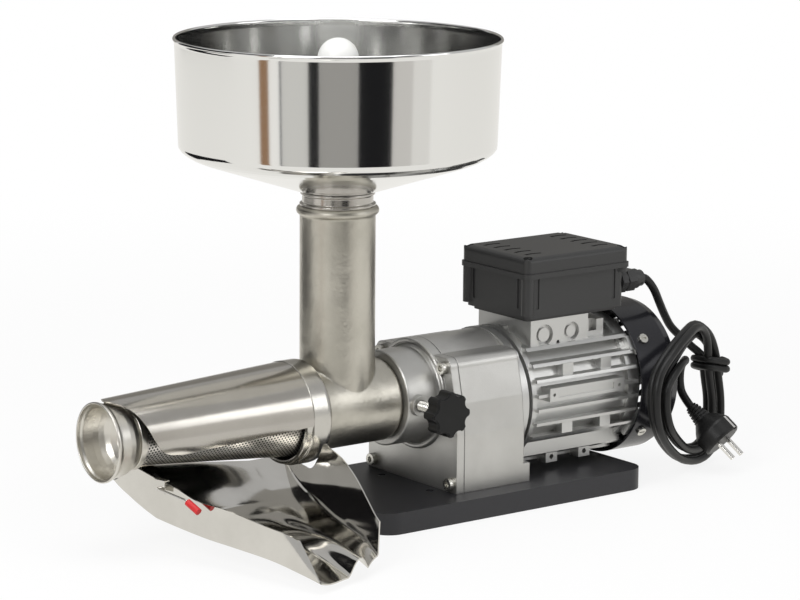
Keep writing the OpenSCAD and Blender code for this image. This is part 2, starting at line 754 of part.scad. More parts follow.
// The lid's solid shape, with its upper edges rounded both ways
module lid_dome(cx, low) {
    l = lid_length - 2 * lid_lip;
    w = lid_width - 2 * lid_lip;
    intersection() {
        translate([cx, lid_y, low]) linear_extrude(height = lid_height - 1) round_rect(l, w, 6);
        translate([cx, lid_y + w / 2 + 1, low + lid_height - 1 - 30]) rotate([90, 0, 0]) linear_extrude(height = w + 2)
            translate([0, 15]) round_rect(l, 30, lid_round);
        translate([cx - l / 2 - 1, lid_y, low + lid_height - 1 - 30]) rotate([90, 0, 90]) linear_extrude(height = l + 2)
            translate([0, 15]) round_rect(w, 30, lid_round - 0.4);
    }
}

module terminal_lid() {
    cx = lid_x + lid_length / 2;
    low = lid_z + 1;
    color([0.03, 0.03, 0.035]) difference() {
        union() {
            lid_dome(cx, low);
            translate([cx, lid_y, low]) linear_extrude(height = 4.5) round_rect(lid_length, lid_width, 6);
        }
        difference() {
            translate([cx, lid_y, low - 4]) linear_extrude(height = lid_height - box_wall + 2)
                round_rect(lid_length - 2 * box_wall - 2, lid_width - 2 * box_wall - 2, 4);
            for (p = post_places()) translate([p[0], p[1], low - 3]) cylinder(r = 6.5, h = lid_height + 3);
            translate([cx, lid_y, low]) linear_extrude(height = 3) difference() {
                round_rect(lid_length, lid_width, 4);
                round_rect(box_length - 2 * box_wall - 1, box_width - 2 * box_wall - 1, 3);
            }
        }
        for (p = post_places()) translate([p[0], p[1], low - 4]) {
            cylinder(r = 2 + fine, h = lid_height + 8);
            translate([0, 0, lid_height - 3]) cylinder(r = 4, h = 12);
        }
        for (sx = [-1, 1], k = [0:vent_count - 1])
            translate([cx + sx * (lid_length / 2 - 22), lid_y + (k - (vent_count - 1) / 2) * 14.5 - 22, low + lid_height - 3.2])
                rotate_extrude(angle = 46, start = 67) translate([21.4, 0]) square([3.4, 4]);
    }
}

module lid_screws() {
    color([0.3, 0.3, 0.3]) for (p = post_places()) translate([p[0], p[1], lid_z + lid_height - 6]) difference() {
        union() {
            cylinder(r = 3.6, h = 3);
            translate([0, 0, 2 - lid_height]) cylinder(r = 1.8, h = lid_height);
        }
        translate([-3, -0.5, 1.6]) cube([6, 1, 2]);
    }
}

module capacitor() {
    color([0.8, 0.8, 0.78]) disc_x(lid_x + 20, lid_y + 16, box_floor + box_wall + 1 + 16, 16, 68);
}

module cable_gland() {
    color([0.03, 0.03, 0.035]) difference() {
        union() {
            disc_x(gland_x - box_wall - 4, gland_y, gland_z, 7, 20);
            along_x(gland_x, gland_y, gland_z) rotate(30) cylinder(r = 11.5, h = 6, $fn = 6);
            disc_x(gland_x + 3, gland_y, gland_z, 9.2, 8);
            along_x(gland_x + 8, gland_y, gland_z) rotate(30) cylinder(r = 11, h = 9, $fn = 6);
            disc_x(gland_x + 12, gland_y, gland_z, 9, 10);
            disc_x(gland_x + 15, gland_y, gland_z, 7.5, gland_reach - 15);
            disc_x(gland_x - box_wall - 4, gland_y, gland_z, 7.4, 4);
        }
        disc_x(gland_x - 20, gland_y, gland_z, cord_d / 2 + fine, 21 + gland_reach);
    }
}

// Mains lead

function spline(p, k, t) =
    let (a = p[max(k - 1, 0)], b = p[k], c = p[k + 1], d = p[min(k + 2, len(p) - 1)])
    0.5 * (2 * b + (c - a) * t + (2 * a - 5 * b + 4 * c - d) * t * t + (3 * b - a - 3 * c + d) * t * t * t);
function along(p, steps) = concat(
    [for (k = [0:len(p) - 2], j = [0:steps - 1]) spline(p, k, j / steps)],
    [p[len(p) - 1]]
);
function unit(v) = v / norm(v);

// A round tube along a list of points
module swept(points, d, sides = 10) {
    n = len(points);
    rings = [for (i = [0:n - 1])
        let (t = i == 0 ? [1, 0, 0] : unit(points[min(i + 1, n - 1)] - points[i - 1]))
        let (u = unit(cross(t, [0, 1, 0])), v = cross(t, u))
        [for (k = [0:sides - 1]) points[i] + d / 2 * (cos(k * 360 / sides) * u + sin(k * 360 / sides) * v)]];
    verts = [for (r = rings) each r];
    sidesq = [for (i = [0:n - 2], k = [0:sides - 1])
        [i * sides + k, (i + 1) * sides + k, (i + 1) * sides + (k + 1) % sides, i * sides + (k + 1) % sides]];
    polyhedron(verts, concat(
        [[for (k = [0:sides - 1]) k]],
        sidesq,
        [[for (k = [sides - 1:-1:0]) (n - 1) * sides + k]]
    ));
}

module cord_tube() {
    color([0.03, 0.03, 0.03]) swept(along(cord_route, 3), cord_d);
}

module cord_hank() {
    color([0.03, 0.03, 0.03]) translate([hank_x, hank_y + hank_depth / 2, 0]) rotate([90, 0, 0])
        linear_extrude(height = hank_depth) {
            translate([-hank_width / 2, hank_width / 2]) square([hank_width, hank_height - hank_width]);
            translate([0, hank_width / 2]) circle(r = hank_width / 2);
            translate([0, hank_height - hank_width / 2]) circle(r = hank_width / 2);
        }
}

// Turns a shape drawn along +Z, from the plug's face back to its lead
module plug_place() {
    back = -plug_dir;
    translate(plug_at) rotate([0, acos(back[2] / norm(back)), atan2(back[1], back[0])]) children();
}

module plug_body() {
    color([0.03, 0.03, 0.03]) plug_place() difference() {
        union() {
            cylinder(r1 = plug_r - 1, r2 = plug_r, h = 2);
            translate([0, 0, 2]) cylinder(r = plug_r, h = 14);
            translate([0, 0, 16]) cylinder(r1 = plug_r, r2 = 11, h = 10);
            translate([0, 0, 26]) cylinder(r1 = 9, r2 = cord_d / 2 + 1.5, h = plug_l - 26);
        }
        for (s = [-1, 1]) translate([s * plug_r - 2, -2.5, -1]) cube([4, 5, 17]);
    }
}

module plug_pins() {
    color([0.8, 0.8, 0.8]) plug_place() {
        for (s = [-1, 1]) translate([0, s * 9.5, -19]) cylinder(r = 2.4, h = 19);
        for (s = [-1, 1]) translate([s * (plug_r - 1.2) - 0.6, -2, 1]) cube([1.2, 4, 14]);
    }
}

// Head

module casting() {
    color([0.66, 0.64, 0.58]) difference() {
        union() {
            spun([[0, seat_x], [barrel_r - 1.5, seat_x], [barrel_r, seat_x + 1.5], [barrel_r, nose_x - 4],
                [barrel_r - 2, nose_x - 1], [barrel_r - 3.5, nose_x], [spigot_r, nose_x],
                [spigot_r, nose_x + spigot_length - 1], [spigot_r - 1, nose_x + spigot_length], [0, nose_x + spigot_length]]);
            translate([neck_x, 0, axis_height]) cylinder(r = neck_r, h = neck_top - axis_height);
            translate([neck_x, 0, neck_top - mouth_bead / 2]) rotate_extrude() translate([mouth_r - mouth_bead / 2, 0])
                circle(r = mouth_bead / 2);
        }
        disc_x(seat_x - 1, 0, axis_height, barrel_bore, barrel_front + barrel_rear - barrel_end_wall + 1);
        translate([neck_x, 0, axis_height]) cylinder(r = neck_bore, h = neck_top);
        translate([neck_x, 0, neck_top - mouth_depth]) cylinder(r = mouth_bore, h = mouth_depth + 1);
        disc_x(seat_x, 0, axis_height, journal_r + fine, 200);
        disc_x(nose_x + 4, 0, axis_height, journal_r + 6, 100);
        disc_x(nose_x - barrel_end_wall, 0, axis_height, journal_r + 5 + fine, 3);
        translate([stud_x, 0, axis_height]) rotate([90, 0, 0]) translate([0, 0, spigot_r - 2])
            cylinder(r1 = stud_r - 1.5, r2 = stud_r + 1, h = 3);
    }
}

module shaft_seal() {
    color([0.75, 0.2, 0.12]) disc_x(nose_x - barrel_end_wall, 0, axis_height, journal_r + 5, 3, journal_r + air);
}

module front_ring() {
    over = strainer_r + 4.5;
    color([0.72, 0.72, 0.72]) spun([
        [barrel_r + fine, seat_x], [over, seat_x], [over, seat_x - 1.2], [strainer_r + 1.2, seat_x - 1.2],
        [strainer_r + 1.2, ring_front - 6], [guard_r(ring_front - 6) - sheet - fine, ring_front - 6],
        [guard_r(ring_front) - sheet - fine, ring_front], [ring_r, ring_front], [ring_r, seat_x - 1],
        [ring_r - 3, ring_x - 3], [barrel_r + 2, ring_x], [barrel_r + fine, ring_x]
    ]);
}

module strainer() {
    t = sheet;
    color([0.7, 0.7, 0.7]) spun([
        [barrel_bore, seat_x], [strainer_r + 4.4, seat_x], [strainer_r + 4.4, seat_x - 1.2], [strainer_r, seat_x - 1.2],
        [waist_r, strainer_end], [waist_r - t, strainer_end], [strainer_r - t, seat_x - 1.8 - t],
        [strainer_r - t, seat_x - 1.2], [barrel_bore, seat_x - 1.2]
    ]);
}

// Outside radius of the guard at station x
function guard_r(x) = mix(guard_end_r, ring_r - 0.5, (x - strainer_end) / (ring_front - strainer_end));

module splash_guard() {
    t = sheet;
    far = strainer_end;
    color([0.75, 0.75, 0.75]) difference() {
        spun([
            [guard_r(ring_front) - t, ring_front], [guard_r(ring_front), ring_front],
            [guard_r(far), far], [guard_r(far) - t, far]
        ]);
        translate([0, 100, 0]) rotate([90, 0, 0]) linear_extrude(height = 200) polygon([
            [far - 5, -10], [ring_front + 5, -10], [ring_front + 5, axis_height - guard_drop_ring],
            [far - 5, axis_height - guard_drop_end]
        ]);
    }
}

module outlet_cup() {
    rim = neck_x - outlet_reach;
    t = sheet;
    color([0.75, 0.75, 0.75]) {
        spun([
            [outlet_r - 1.6, rim], [outlet_r, rim], [outlet_r, rim + 2.5], [outlet_r - 2.4, rim + 6],
            [outlet_r - 3.6, rim + 12], [outlet_r - 4.8, rim + 20], [waist_r + 2.6, rim + 28], [waist_r + t, rim + 33],
            [waist_r + t, strainer_end + 3], [waist_r + 0.4, strainer_end + 3], [waist_r, strainer_end],
            [waist_r, rim + 33], [waist_r - 6, rim + 34.5], [waist_r - 8, rim + 36], [waist_r - 8, rim + 34.8],
            [waist_r - 6.5, rim + 33.2], [waist_r - 1, rim + 31.5], [waist_r + 1.4, rim + 27.4], [outlet_r - 6, rim + 20],
            [outlet_r - 4.8, rim + 12], [outlet_r - 3.6, rim + 6], [outlet_r - 1.6, rim + 2.5]
        ]);
        disc_x(strainer_end - 4.5, 0, axis_height, cup_ring_r, 1.2, waist_r + t / 2);
        disc_x(strainer_end - 4.5, 0, axis_height, cup_ring_r, 5, cup_ring_r - 1.2);
    }
}

// Auger and gear train

function cone_r(x) = waist_r + (strainer_r - waist_r) * (x - strainer_end) / (seat_x - 1.2 - strainer_end);

module auger_core() {
    tip = strainer_end + 4;
    color([0.85, 0.85, 0.82]) spun([
        [0, tip], [6, tip], [auger_core_r - 2, seat_x - 4], [auger_core_r, seat_x],
        [auger_core_r + 4, nose_x - barrel_end_wall - 1], [0, nose_x - barrel_end_wall - 1]
    ]);
}

// Radius of the core, and of the flight's rim, at station x
function core_r(x) = lookup(x, [[strainer_end + 4, 6], [seat_x - 4, auger_core_r - 2], [seat_x, auger_core_r],
    [nose_x - barrel_end_wall - 1, auger_core_r + 4]]);
function rim_r(x) = lookup(x, [[strainer_end, waist_r - sheet - auger_gap - 0.6],
    [seat_x - 9, cone_r(seat_x - 9) - sheet - auger_gap - 0.6], [seat_x - 5, barrel_bore - auger_gap],
    [nose_x, barrel_bore - auger_gap]]);

// The flight is a ribbon wound round the core, thicker at its root
module auger_flight() {
    front = strainer_end + 8;
    back = nose_x - barrel_end_wall - 5;
    steps = ceil((back - front) / auger_pitch * 24);
    section = [[-2.8, 0], [-1.8, 1], [1.8, 1], [2.8, 0]];
    points = [for (i = [0:steps], c = section)
        let (x = front + (back - front) * i / steps + c[0], r = c[1] == 0 ? core_r(x) + 0.25 : rim_r(x))
        let (a = 360 * i * (back - front) / steps / auger_pitch)
        [x, r * sin(a), axis_height + r * cos(a)]];
    sides = [for (i = [0:steps - 1], k = [0:3])
        let (p = 4 * i + k, q = 4 * i + (k + 1) % 4)
        each [[p, q + 4, q], [p, p + 4, q + 4]]];
    ends = [[0, 2, 3], [0, 1, 2], [4 * steps, 4 * steps + 2, 4 * steps + 1], [4 * steps, 4 * steps + 3, 4 * steps + 2]];
    color([0.85, 0.85, 0.82]) polyhedron(points, concat(sides, ends));
}

module auger_tang() {
    color([0.7, 0.7, 0.72]) {
        disc_x(nose_x - barrel_end_wall - 1, 0, axis_height, journal_r, barrel_end_wall + 3);
        translate([nose_x + 1.5, -drive_square / 2, axis_height - drive_square / 2])
            cube([spigot_length - 3, drive_square, drive_square]);
    }
}

module output_shaft() {
    color([0.7, 0.7, 0.72]) difference() {
        union() {
            disc_x(nose_x + 5, 0, axis_height, shaft_r + 2.5, web_x - nose_x);
            disc_x(nose_x + 6, 0, axis_height, shaft_r, stage_two_x + stage_two_w + 3 - nose_x - 6);
        }
        translate([nose_x, -drive_square / 2 - 0.1, axis_height - drive_square / 2 - 0.1])
            cube([spigot_length - 1, drive_square + 0.2, drive_square + 0.2]);
    }
}

module output_gear() {
    color([0.5, 0.5, 0.52]) gear_x(stage_two_x, 0, axis_height, module_two, teeth_output, stage_two_w, shaft_r,
        out_turn() + 180 / teeth_output);
}

module lay_shaft() {
    front = cover_x + 4.5;
    color([0.62, 0.62, 0.64]) {
        disc_x(front, lay_y, lay_z, lay_shaft_r, motor_x - gearbox_wall + 0.5 - front);
        gear_x(stage_two_x - 1, lay_y, lay_z, module_two, teeth_lay_pinion, stage_two_w + 2, 0, out_turn() + 180);
    }
}

module lay_gear() {
    color([0.5, 0.5, 0.52]) gear_x(stage_one_x + 1, lay_y, lay_z, module_one, teeth_lay_gear, stage_one_w - 2,
        lay_shaft_r, lay_turn() + 180 + 180 / teeth_lay_gear);
}

// Clamp

module clamp_stud() {
    color([0.7, 0.7, 0.72]) translate([stud_x, 0, axis_height]) rotate([90, 0, 0]) {
        translate([0, 0, spigot_r - 1.4]) cylinder(r1 = stud_r - 2, r2 = stud_r - 0.2, h = 3);
        translate([0, 0, spigot_r + 1.5]) cylinder(r = stud_r, h = knob_reach - spigot_r - 8);
    }
}

module knob_outline(inset = 0) {
    difference() {
        union() {
            circle(r = knob_r - 3);
            for (k = [0:knob_lobes - 1]) rotate(k * 360 / knob_lobes) translate([knob_r - 6, 0]) circle(r = 6 - inset);
        }
        for (k = [0:knob_lobes - 1]) rotate((k + 0.5) * 360 / knob_lobes) translate([knob_r + 2.5, 0]) circle(r = 6 + inset);
    }
}

module clamp_knob() {
    color([0.02, 0.02, 0.02]) translate([stud_x, knob_y, axis_height]) rotate([-90, 0, 0]) difference() {
        union() {
            translate([0, 0, 1.2]) linear_extrude(height = knob_length - 7) knob_outline();
            linear_extrude(height = knob_length - 4.5) knob_outline(1.2);
            translate([0, 0, knob_length - 6]) cylinder(r1 = knob_r - 6, r2 = stud_r + 4, h = 6);
        }
        translate([0, 0, 6]) cylinder(r = stud_r + fine, h = knob_length);
    }
}

// Hopper and pusher

module hopper_bowl() {
    top = neck_top + hopper_height;
    foot = neck_top + hopper_foot;
    low = neck_top + outlet_tube;
    t = hopper_sheet;
    color([0.8, 0.8, 0.8]) translate([neck_x, 0, 0]) rotate_extrude($fn = 120) polygon([
        [tube_r, low], [hopper_foot_r - 18, foot - 12.5], [hopper_foot_r - 8, foot - 8.5], [hopper_foot_r - 2.5, foot - 4.5],
        [hopper_foot_r, foot], [hopper_r - 1.2, top - 3.4], [hopper_r, top - 2.8], [hopper_r, top - 0.8],
        [hopper_r - 0.8, top], [hopper_r - 1.8, top], [hopper_r - 2.4, top - 0.8], [hopper_r - 1.2 - t, top - 3.8],
        [hopper_foot_r - t, foot], [hopper_foot_r - 3.4, foot - 4], [hopper_foot_r - 8.5, foot - 7.5],
        [hopper_foot_r - 18.5, foot - 11.4], [tube_r, low + t + 0.1], [tube_r - 1.2, low + t], [tube_r - 1.2, low]
    ]);
}

module hopper_outlet() {
    low = neck_top + outlet_tube;
    color([0.75, 0.75, 0.75]) translate([neck_x, 0, 0]) rotate_extrude() polygon([
        [tube_r - 1.2, neck_top - mouth_depth + 1], [tube_r, neck_top - mouth_depth + 1], [tube_r, neck_top + 0.05],
        [tube_r + 2.2, neck_top + 0.05], [tube_r + 2.2, neck_top + 2], [tube_r, neck_top + 3],
        [tube_r, low - 3], [tube_r + 1.6, low - 2], [tube_r + 1.6, low - 0.2], [tube_r, low], [tube_r - 1.2, low]
    ]);
}

module pusher_rod() {
    color([0.9, 0.9, 0.88]) translate([neck_x, 0, axis_height + barrel_bore + 10])
        cylinder(r = pusher_rod_r, h = neck_top + pusher_height - pusher_head_r * 1.6 - axis_height - barrel_bore - 10);
}

module pusher_foot() {
    color([0.9, 0.9, 0.88]) translate([neck_x, 0, axis_height + barrel_bore]) difference() {
        union() {
            cylinder(r = pusher_foot_r, h = 10);
            translate([0, 0, 10]) cylinder(r1 = pusher_foot_r, r2 = pusher_rod_r + 3, h = 14);
        }
        translate([0, 0, 10]) cylinder(r = pusher_rod_r, h = 20);
    }
}

module pusher_head() {
    top = neck_top + pusher_height;
    color([0.92, 0.92, 0.9]) translate([neck_x, 0, top - pusher_head_r]) difference() {
        union() {
            sphere(r = pusher_head_r);
            translate([0, 0, -pusher_head_r - 4]) cylinder(r1 = pusher_rod_r + 3, r2 = pusher_head_r - 1.6, h = 12);
        }
        translate([0, 0, -pusher_head_r - 8]) cylinder(r = pusher_rod_r, h = 8 + pusher_head_r * 0.4);
    }
}

// Juice tray

tray_x = neck_x - outlet_reach + tray_back_half + tray_inset;
tray_rise = axis_height / 98;
// Underside of the tray floor over Y
tray_floor = [[-183, 5], [-170, 8], [-137, 14], [-100, 17], [-64, 19.5], [-10, 27], [12, 32], [28, 39], [48, 51.5]];
// Upper edge of the outlet-side wall over Y
tray_left = [[-183, 38], [-170, 41], [-137, 45], [-96, 51], [-64, 53], [-40, 60], [-20, 64], [2, 69.6], [12, 70.4], [28, 56], [48, 52.5]];
// Upper edge of the motor-side wall over Y
tray_right = [[-183, 42], [-170, 45], [-150, 53], [-119, 66], [-88, 74.5], [-58, 77.5], [-46, 78.5], [-38, 69], [-20, 52],
    [0, 49], [28, 50], [48, 51.5]];

function mix(a, b, t) = a + (b - a) * t;
function bump(u) = abs(u) > 1 ? 0 : (1 + cos(180 * u)) / 2;
function tray_half(t) = mix(tray_back_half, tray_spout_half, t);
function tray_y(t) = mix(tray_back, -tray_reach, t);

// Floor height at station t and at q, from -1 at the outlet side to 1 at the motor side
function tray_z(t, q) =
    tray_rise * lookup(tray_y(t), tray_floor)
    + tray_ridge * max(0, (t - 0.35) / 0.65) * bump((q - 0.22) / 0.34)
    + 5 * max(0, (t - 0.5) / 0.5) * max(0, q)
    + mix(q > 0 ? 0.4 : 4, 3, t) * pow(abs(q), 4)
    + tray_lip * max(0, 1 - 4 * t) * (q < -0.5 ? 1 : max(0, (0.6 - q) / 1.1));

// One cross-section: wall, floor, wall
function tray_row(t) =
    let (y = tray_y(t), w = tray_half(t), left = tray_rise * lookup(y, tray_left), right = tray_rise * lookup(y, tray_right))
    let (lz = max(left, tray_z(t, -1) + 1.4), rz = max(right, tray_z(t, 1) + 1.4), back = 16 * pow(t, 3), out = tray_lobe * pow(t, 3))
    concat(
        [for (k = [0:3]) [-w - 1.5 * (3 - k) / 3, y + mix(back, -out, k / 4), mix(lz, tray_z(t, -1), k / 4)]],
        [for (k = [0:20]) let (q = -1 + k / 10)
            [q * w * (1 - 0.02 * pow(q, 4)), y + back * bump((q - 1) / 0.8) - out * bump((q + 1) / 1.1), tray_z(t, q)]],
        [for (k = [3:-1:0]) [w + 1.5 * (3 - k) / 3, y + back, mix(rz, tray_z(t, 1), k / 4)]]
    );

// The point of the inner face over point i of a row
function lifted(row, i) =
    let (a = row[max(i - 1, 0)], b = row[min(i + 1, len(row) - 1)], d = [b[0] - a[0], b[2] - a[2]], n = norm(d))
    row[i] + tray_sheet * [-d[1] / n, 0, d[0] / n];

module tray() {
    stations = 18;
    rows = [for (s = [0:stations]) tray_row(s / stations)];
    m = len(rows[0]);
    n = stations + 1;
    outer = [for (r = rows) each r];
    inner = [for (r = rows) each [for (i = [0:m - 1]) lifted(r, i)]];
    o = n * m;
    faces = concat(
        [for (s = [0:n - 2], i = [0:m - 2]) each [
            [s * m + i, s * m + i + 1, (s + 1) * m + i + 1], [s * m + i, (s + 1) * m + i + 1, (s + 1) * m + i]]],
        [for (s = [0:n - 2], i = [0:m - 2]) each [
            [o + s * m + i, o + (s + 1) * m + i + 1, o + s * m + i + 1], [o + s * m + i, o + (s + 1) * m + i, o + (s + 1) * m + i + 1]]],
        [for (i = [0:m - 2]) each [[i, o + i, o + i + 1], [i, o + i + 1, i + 1]]],
        [for (i = [0:m - 2]) each [
            [(n - 1) * m + i, (n - 1) * m + i + 1, o + (n - 1) * m + i + 1],
            [(n - 1) * m + i, o + (n - 1) * m + i + 1, o + (n - 1) * m + i]]],
        [for (s = [0:n - 2]) each [[s * m, (s + 1) * m, o + (s + 1) * m], [s * m, o + (s + 1) * m, o + s * m]]],
        [for (s = [0:n - 2]) let (e = m - 1) each [
            [s * m + e, o + (s + 1) * m + e, (s + 1) * m + e], [s * m + e, o + s * m + e, o + (s + 1) * m + e]]]
    );
    color([0.7, 0.7, 0.7]) translate([tray_x, 0, 0]) polyhedron(concat(outer, inner), [for (f = faces) [f[0], f[2], f[1]]]);
}

// Place on the outlet-side wall at distance y along the screw's cross direction
function tray_t(y) = (tray_back - y) / (tray_back + tray_reach);
function wall_turn() = atan2(tray_back_half - tray_spout_half, tray_back + tray_reach);

module on_tray_wall(y, z) {
    translate([tray_x - tray_half(tray_t(y)) - 1.5, y, z]) rotate([0, 0, wall_turn()]) children();
}

module tray_tab() {
    color([0.7, 0.7, 0.7]) on_tray_wall(latch_y, 55 * tray_rise) difference() {
        union() {
            translate([-5.2, -6, 0]) cube([1.2, 12, 11]);
            translate([-5.2, -6, 9.8]) cube([5.6, 12, 1.2]);
        }
        translate([-9, 0, 4]) rotate([0, 90, 0]) cylinder(r = latch_wire_r + fine, h = 8);
    }
}

latch_y = -26;
latch_grip = 15;
latch_droop = 8;
latch_kink = 19;
latch_bend = 5;
function latch_straight() = latch_length - latch_grip;

// The latch wire's pivot on the tab, with +Z along the wire
module latch_line() {
    translate([-7.6, 0, 4]) rotate([90 + latch_droop, 0, 0]) children();
}

// Places a shape drawn along +Z past the bend of the latch wire
module latch_end() {
    latch_line() translate([0, -latch_bend, latch_straight()]) rotate([latch_kink, 0, 0])
        translate([0, latch_bend, 0]) children();
}

module latch_wire() {
    color([0.7, 0.7, 0.7]) on_tray_wall(latch_y, 55 * tray_rise) {
        translate([-7.8 - latch_wire_r, 0, 4]) rotate([0, 90, 0]) cylinder(r = latch_wire_r, h = 7.2 + latch_wire_r);
        latch_line() {
            cylinder(r = latch_wire_r - 0.08, h = latch_straight() + 0.4);
            translate([0, -latch_bend, latch_straight()]) rotate([90, 0, 90]) rotate_extrude(angle = latch_kink)
                translate([latch_bend, 0]) circle(r = latch_wire_r);
        }
        latch_end() translate([0, 0, -0.4]) cylinder(r = latch_wire_r - 0.08, h = latch_grip - 1.6);
    }
}

module latch_sleeve() {
    color([0.8, 0.03, 0.03]) on_tray_wall(latch_y, 55 * tray_rise) latch_end() translate([0, 0, 1]) difference() {
        cylinder(r = latch_sleeve_r, h = latch_grip - 1);
        translate([0, 0, -1]) cylinder(r = latch_wire_r + fine, h = latch_grip - 2 + fine);
    }
}

base_plate();
base_screws();
gearbox_housing();
gearbox_cover();
cover_gasket();
cover_screws();
output_bearings();
output_seal();
lay_bushes();
motor_frame();
motor_front_shield();
motor_rear_shield();
motor_bearings();
stator_core();
stator_windings();
fan_cover();
fan_cover_screws();
terminal_box();
lid_gasket();
terminal_lid();
lid_screws();
capacitor();
cable_gland();
cord_tube();
cord_hank();
plug_body();
plug_pins();
casting();
shaft_seal();
strainer();
front_ring();
splash_guard();
outlet_cup();
rotor_core();
motor_shaft();
motor_fan();
lay_shaft();
lay_gear();
output_shaft();
output_gear();
auger_core();
auger_flight();
auger_tang();
clamp_stud();
clamp_knob();
hopper_bowl();
hopper_outlet();
pusher_rod();
pusher_foot();
pusher_head();
tray();
tray_tab();
latch_wire();
latch_sleeve();
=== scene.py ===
import logging
import math
from dataclasses import dataclass
from enum import Enum
from typing import ClassVar, Iterable, Sequence

import bmesh
import bpy
from mathutils import Matrix, Vector


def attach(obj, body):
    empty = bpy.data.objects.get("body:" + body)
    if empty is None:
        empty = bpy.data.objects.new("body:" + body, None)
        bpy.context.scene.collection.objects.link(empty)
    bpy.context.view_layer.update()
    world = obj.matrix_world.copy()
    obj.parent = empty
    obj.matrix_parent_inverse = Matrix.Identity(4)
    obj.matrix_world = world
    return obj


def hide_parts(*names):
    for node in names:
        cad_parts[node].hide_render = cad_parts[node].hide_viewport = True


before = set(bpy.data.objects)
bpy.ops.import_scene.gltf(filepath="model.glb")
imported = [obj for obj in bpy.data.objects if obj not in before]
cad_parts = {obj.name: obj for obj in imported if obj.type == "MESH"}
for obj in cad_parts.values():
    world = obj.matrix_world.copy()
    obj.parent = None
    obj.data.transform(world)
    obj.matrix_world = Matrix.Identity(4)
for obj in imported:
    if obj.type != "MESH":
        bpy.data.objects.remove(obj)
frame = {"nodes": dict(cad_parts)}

LOG = logging.getLogger("tomato_press")
MM = 0.001
Point = tuple[float, float, float]
Pair = tuple[float, float]
Colour = tuple[float, float, float]
Number = float | int
Face = tuple[int, ...]


@dataclass(frozen=True)
class Lines:
    """Stations that the sub-assemblies share, in millimetres."""

    axis_height: float = 98.0
    neck_x: float = -135.0
    neck_top: float = 273.0
    strainer_end: float = -335.0


LINES = Lines()


# Shader toolkit


class Wire:
    """A number socket of a shader tree that takes part in Python arithmetic."""

    def __init__(self, graph: "Graph", socket: bpy.types.NodeSocket) -> None:
        """Wraps a socket.

        Args:
            graph: The tree that the socket is in.
            socket: An output socket that carries a number.
        """
        self.graph = graph
        self.socket = socket

    def _math(self, operation: str, *values: "Wire | Number") -> "Wire":
        """Adds one Math node.

        Args:
            operation: The node's operation.
            values: Its inputs, in order.

        Returns:
            The node's output.
        """
        made = self.graph.node("ShaderNodeMath", {"operation": operation}, dict(enumerate(values)))
        return Wire(self.graph, made.outputs[0])

    def __add__(self, other: "Wire | Number") -> "Wire":
        """The sum."""
        return self._math("ADD", self, other)

    def __radd__(self, other: Number) -> "Wire":
        """The sum, from the right."""
        return self._math("ADD", other, self)

    def __sub__(self, other: "Wire | Number") -> "Wire":
        """The difference."""
        return self._math("SUBTRACT", self, other)

    def __rsub__(self, other: Number) -> "Wire":
        """The difference, from the right."""
        return self._math("SUBTRACT", other, self)

    def __mul__(self, other: "Wire | Number") -> "Wire":
        """The product."""
        return self._math("MULTIPLY", self, other)

    def __rmul__(self, other: Number) -> "Wire":
        """The product, from the right."""
        return self._math("MULTIPLY", other, self)

    def __truediv__(self, other: "Wire | Number") -> "Wire":
        """The quotient."""
        return self._math("DIVIDE", self, other)

    def __pow__(self, other: "Wire | Number") -> "Wire":
        """The power."""
        return self._math("POWER", self, other)

    def wave(self) -> "Wire":
        """The sine of an angle in radians."""
        return self._math("SINE", self)

    def cosine(self) -> "Wire":
        """The cosine of an angle in radians."""
        return self._math("COSINE", self)

    def fraction(self) -> "Wire":
        """What stands after the decimal point, from 0 to 1."""
        return self._math("FRACT", self)

    def least(self, other: "Wire | Number") -> "Wire":
        """The smaller of the two."""
        return self._math("MINIMUM", self, other)

    def most(self, other: "Wire | Number") -> "Wire":
        """The larger of the two."""
        return self._math("MAXIMUM", self, other)

    def above(self, other: "Wire | Number") -> "Wire":
        """1 where this is the larger, and otherwise 0."""
        return self._math("GREATER_THAN", self, other)

    def angle_to(self, other: "Wire | Number") -> "Wire":
        """The angle whose tangent is this over the other."""
        return self._math("ARCTAN2", self, other)

    def ramp(self, low: float, high: float, start: float = 0.0, end: float = 1.0) -> "Wire":
        """Runs smoothly from one value to another.

        Args:
            low: Where the run begins.
            high: Where it ends.
            start: The value up to low.
            end: The value from high on.

        Returns:
            The smooth value.
        """
        made = self.graph.node(
            "ShaderNodeMapRange",
            {"interpolation_type": "SMOOTHSTEP"},
            {0: self, 1: low, 2: high, 3: start, 4: end},
        )
        return Wire(self.graph, made.outputs[0])


Value = Wire | bpy.types.NodeSocket | Number | Sequence[float]


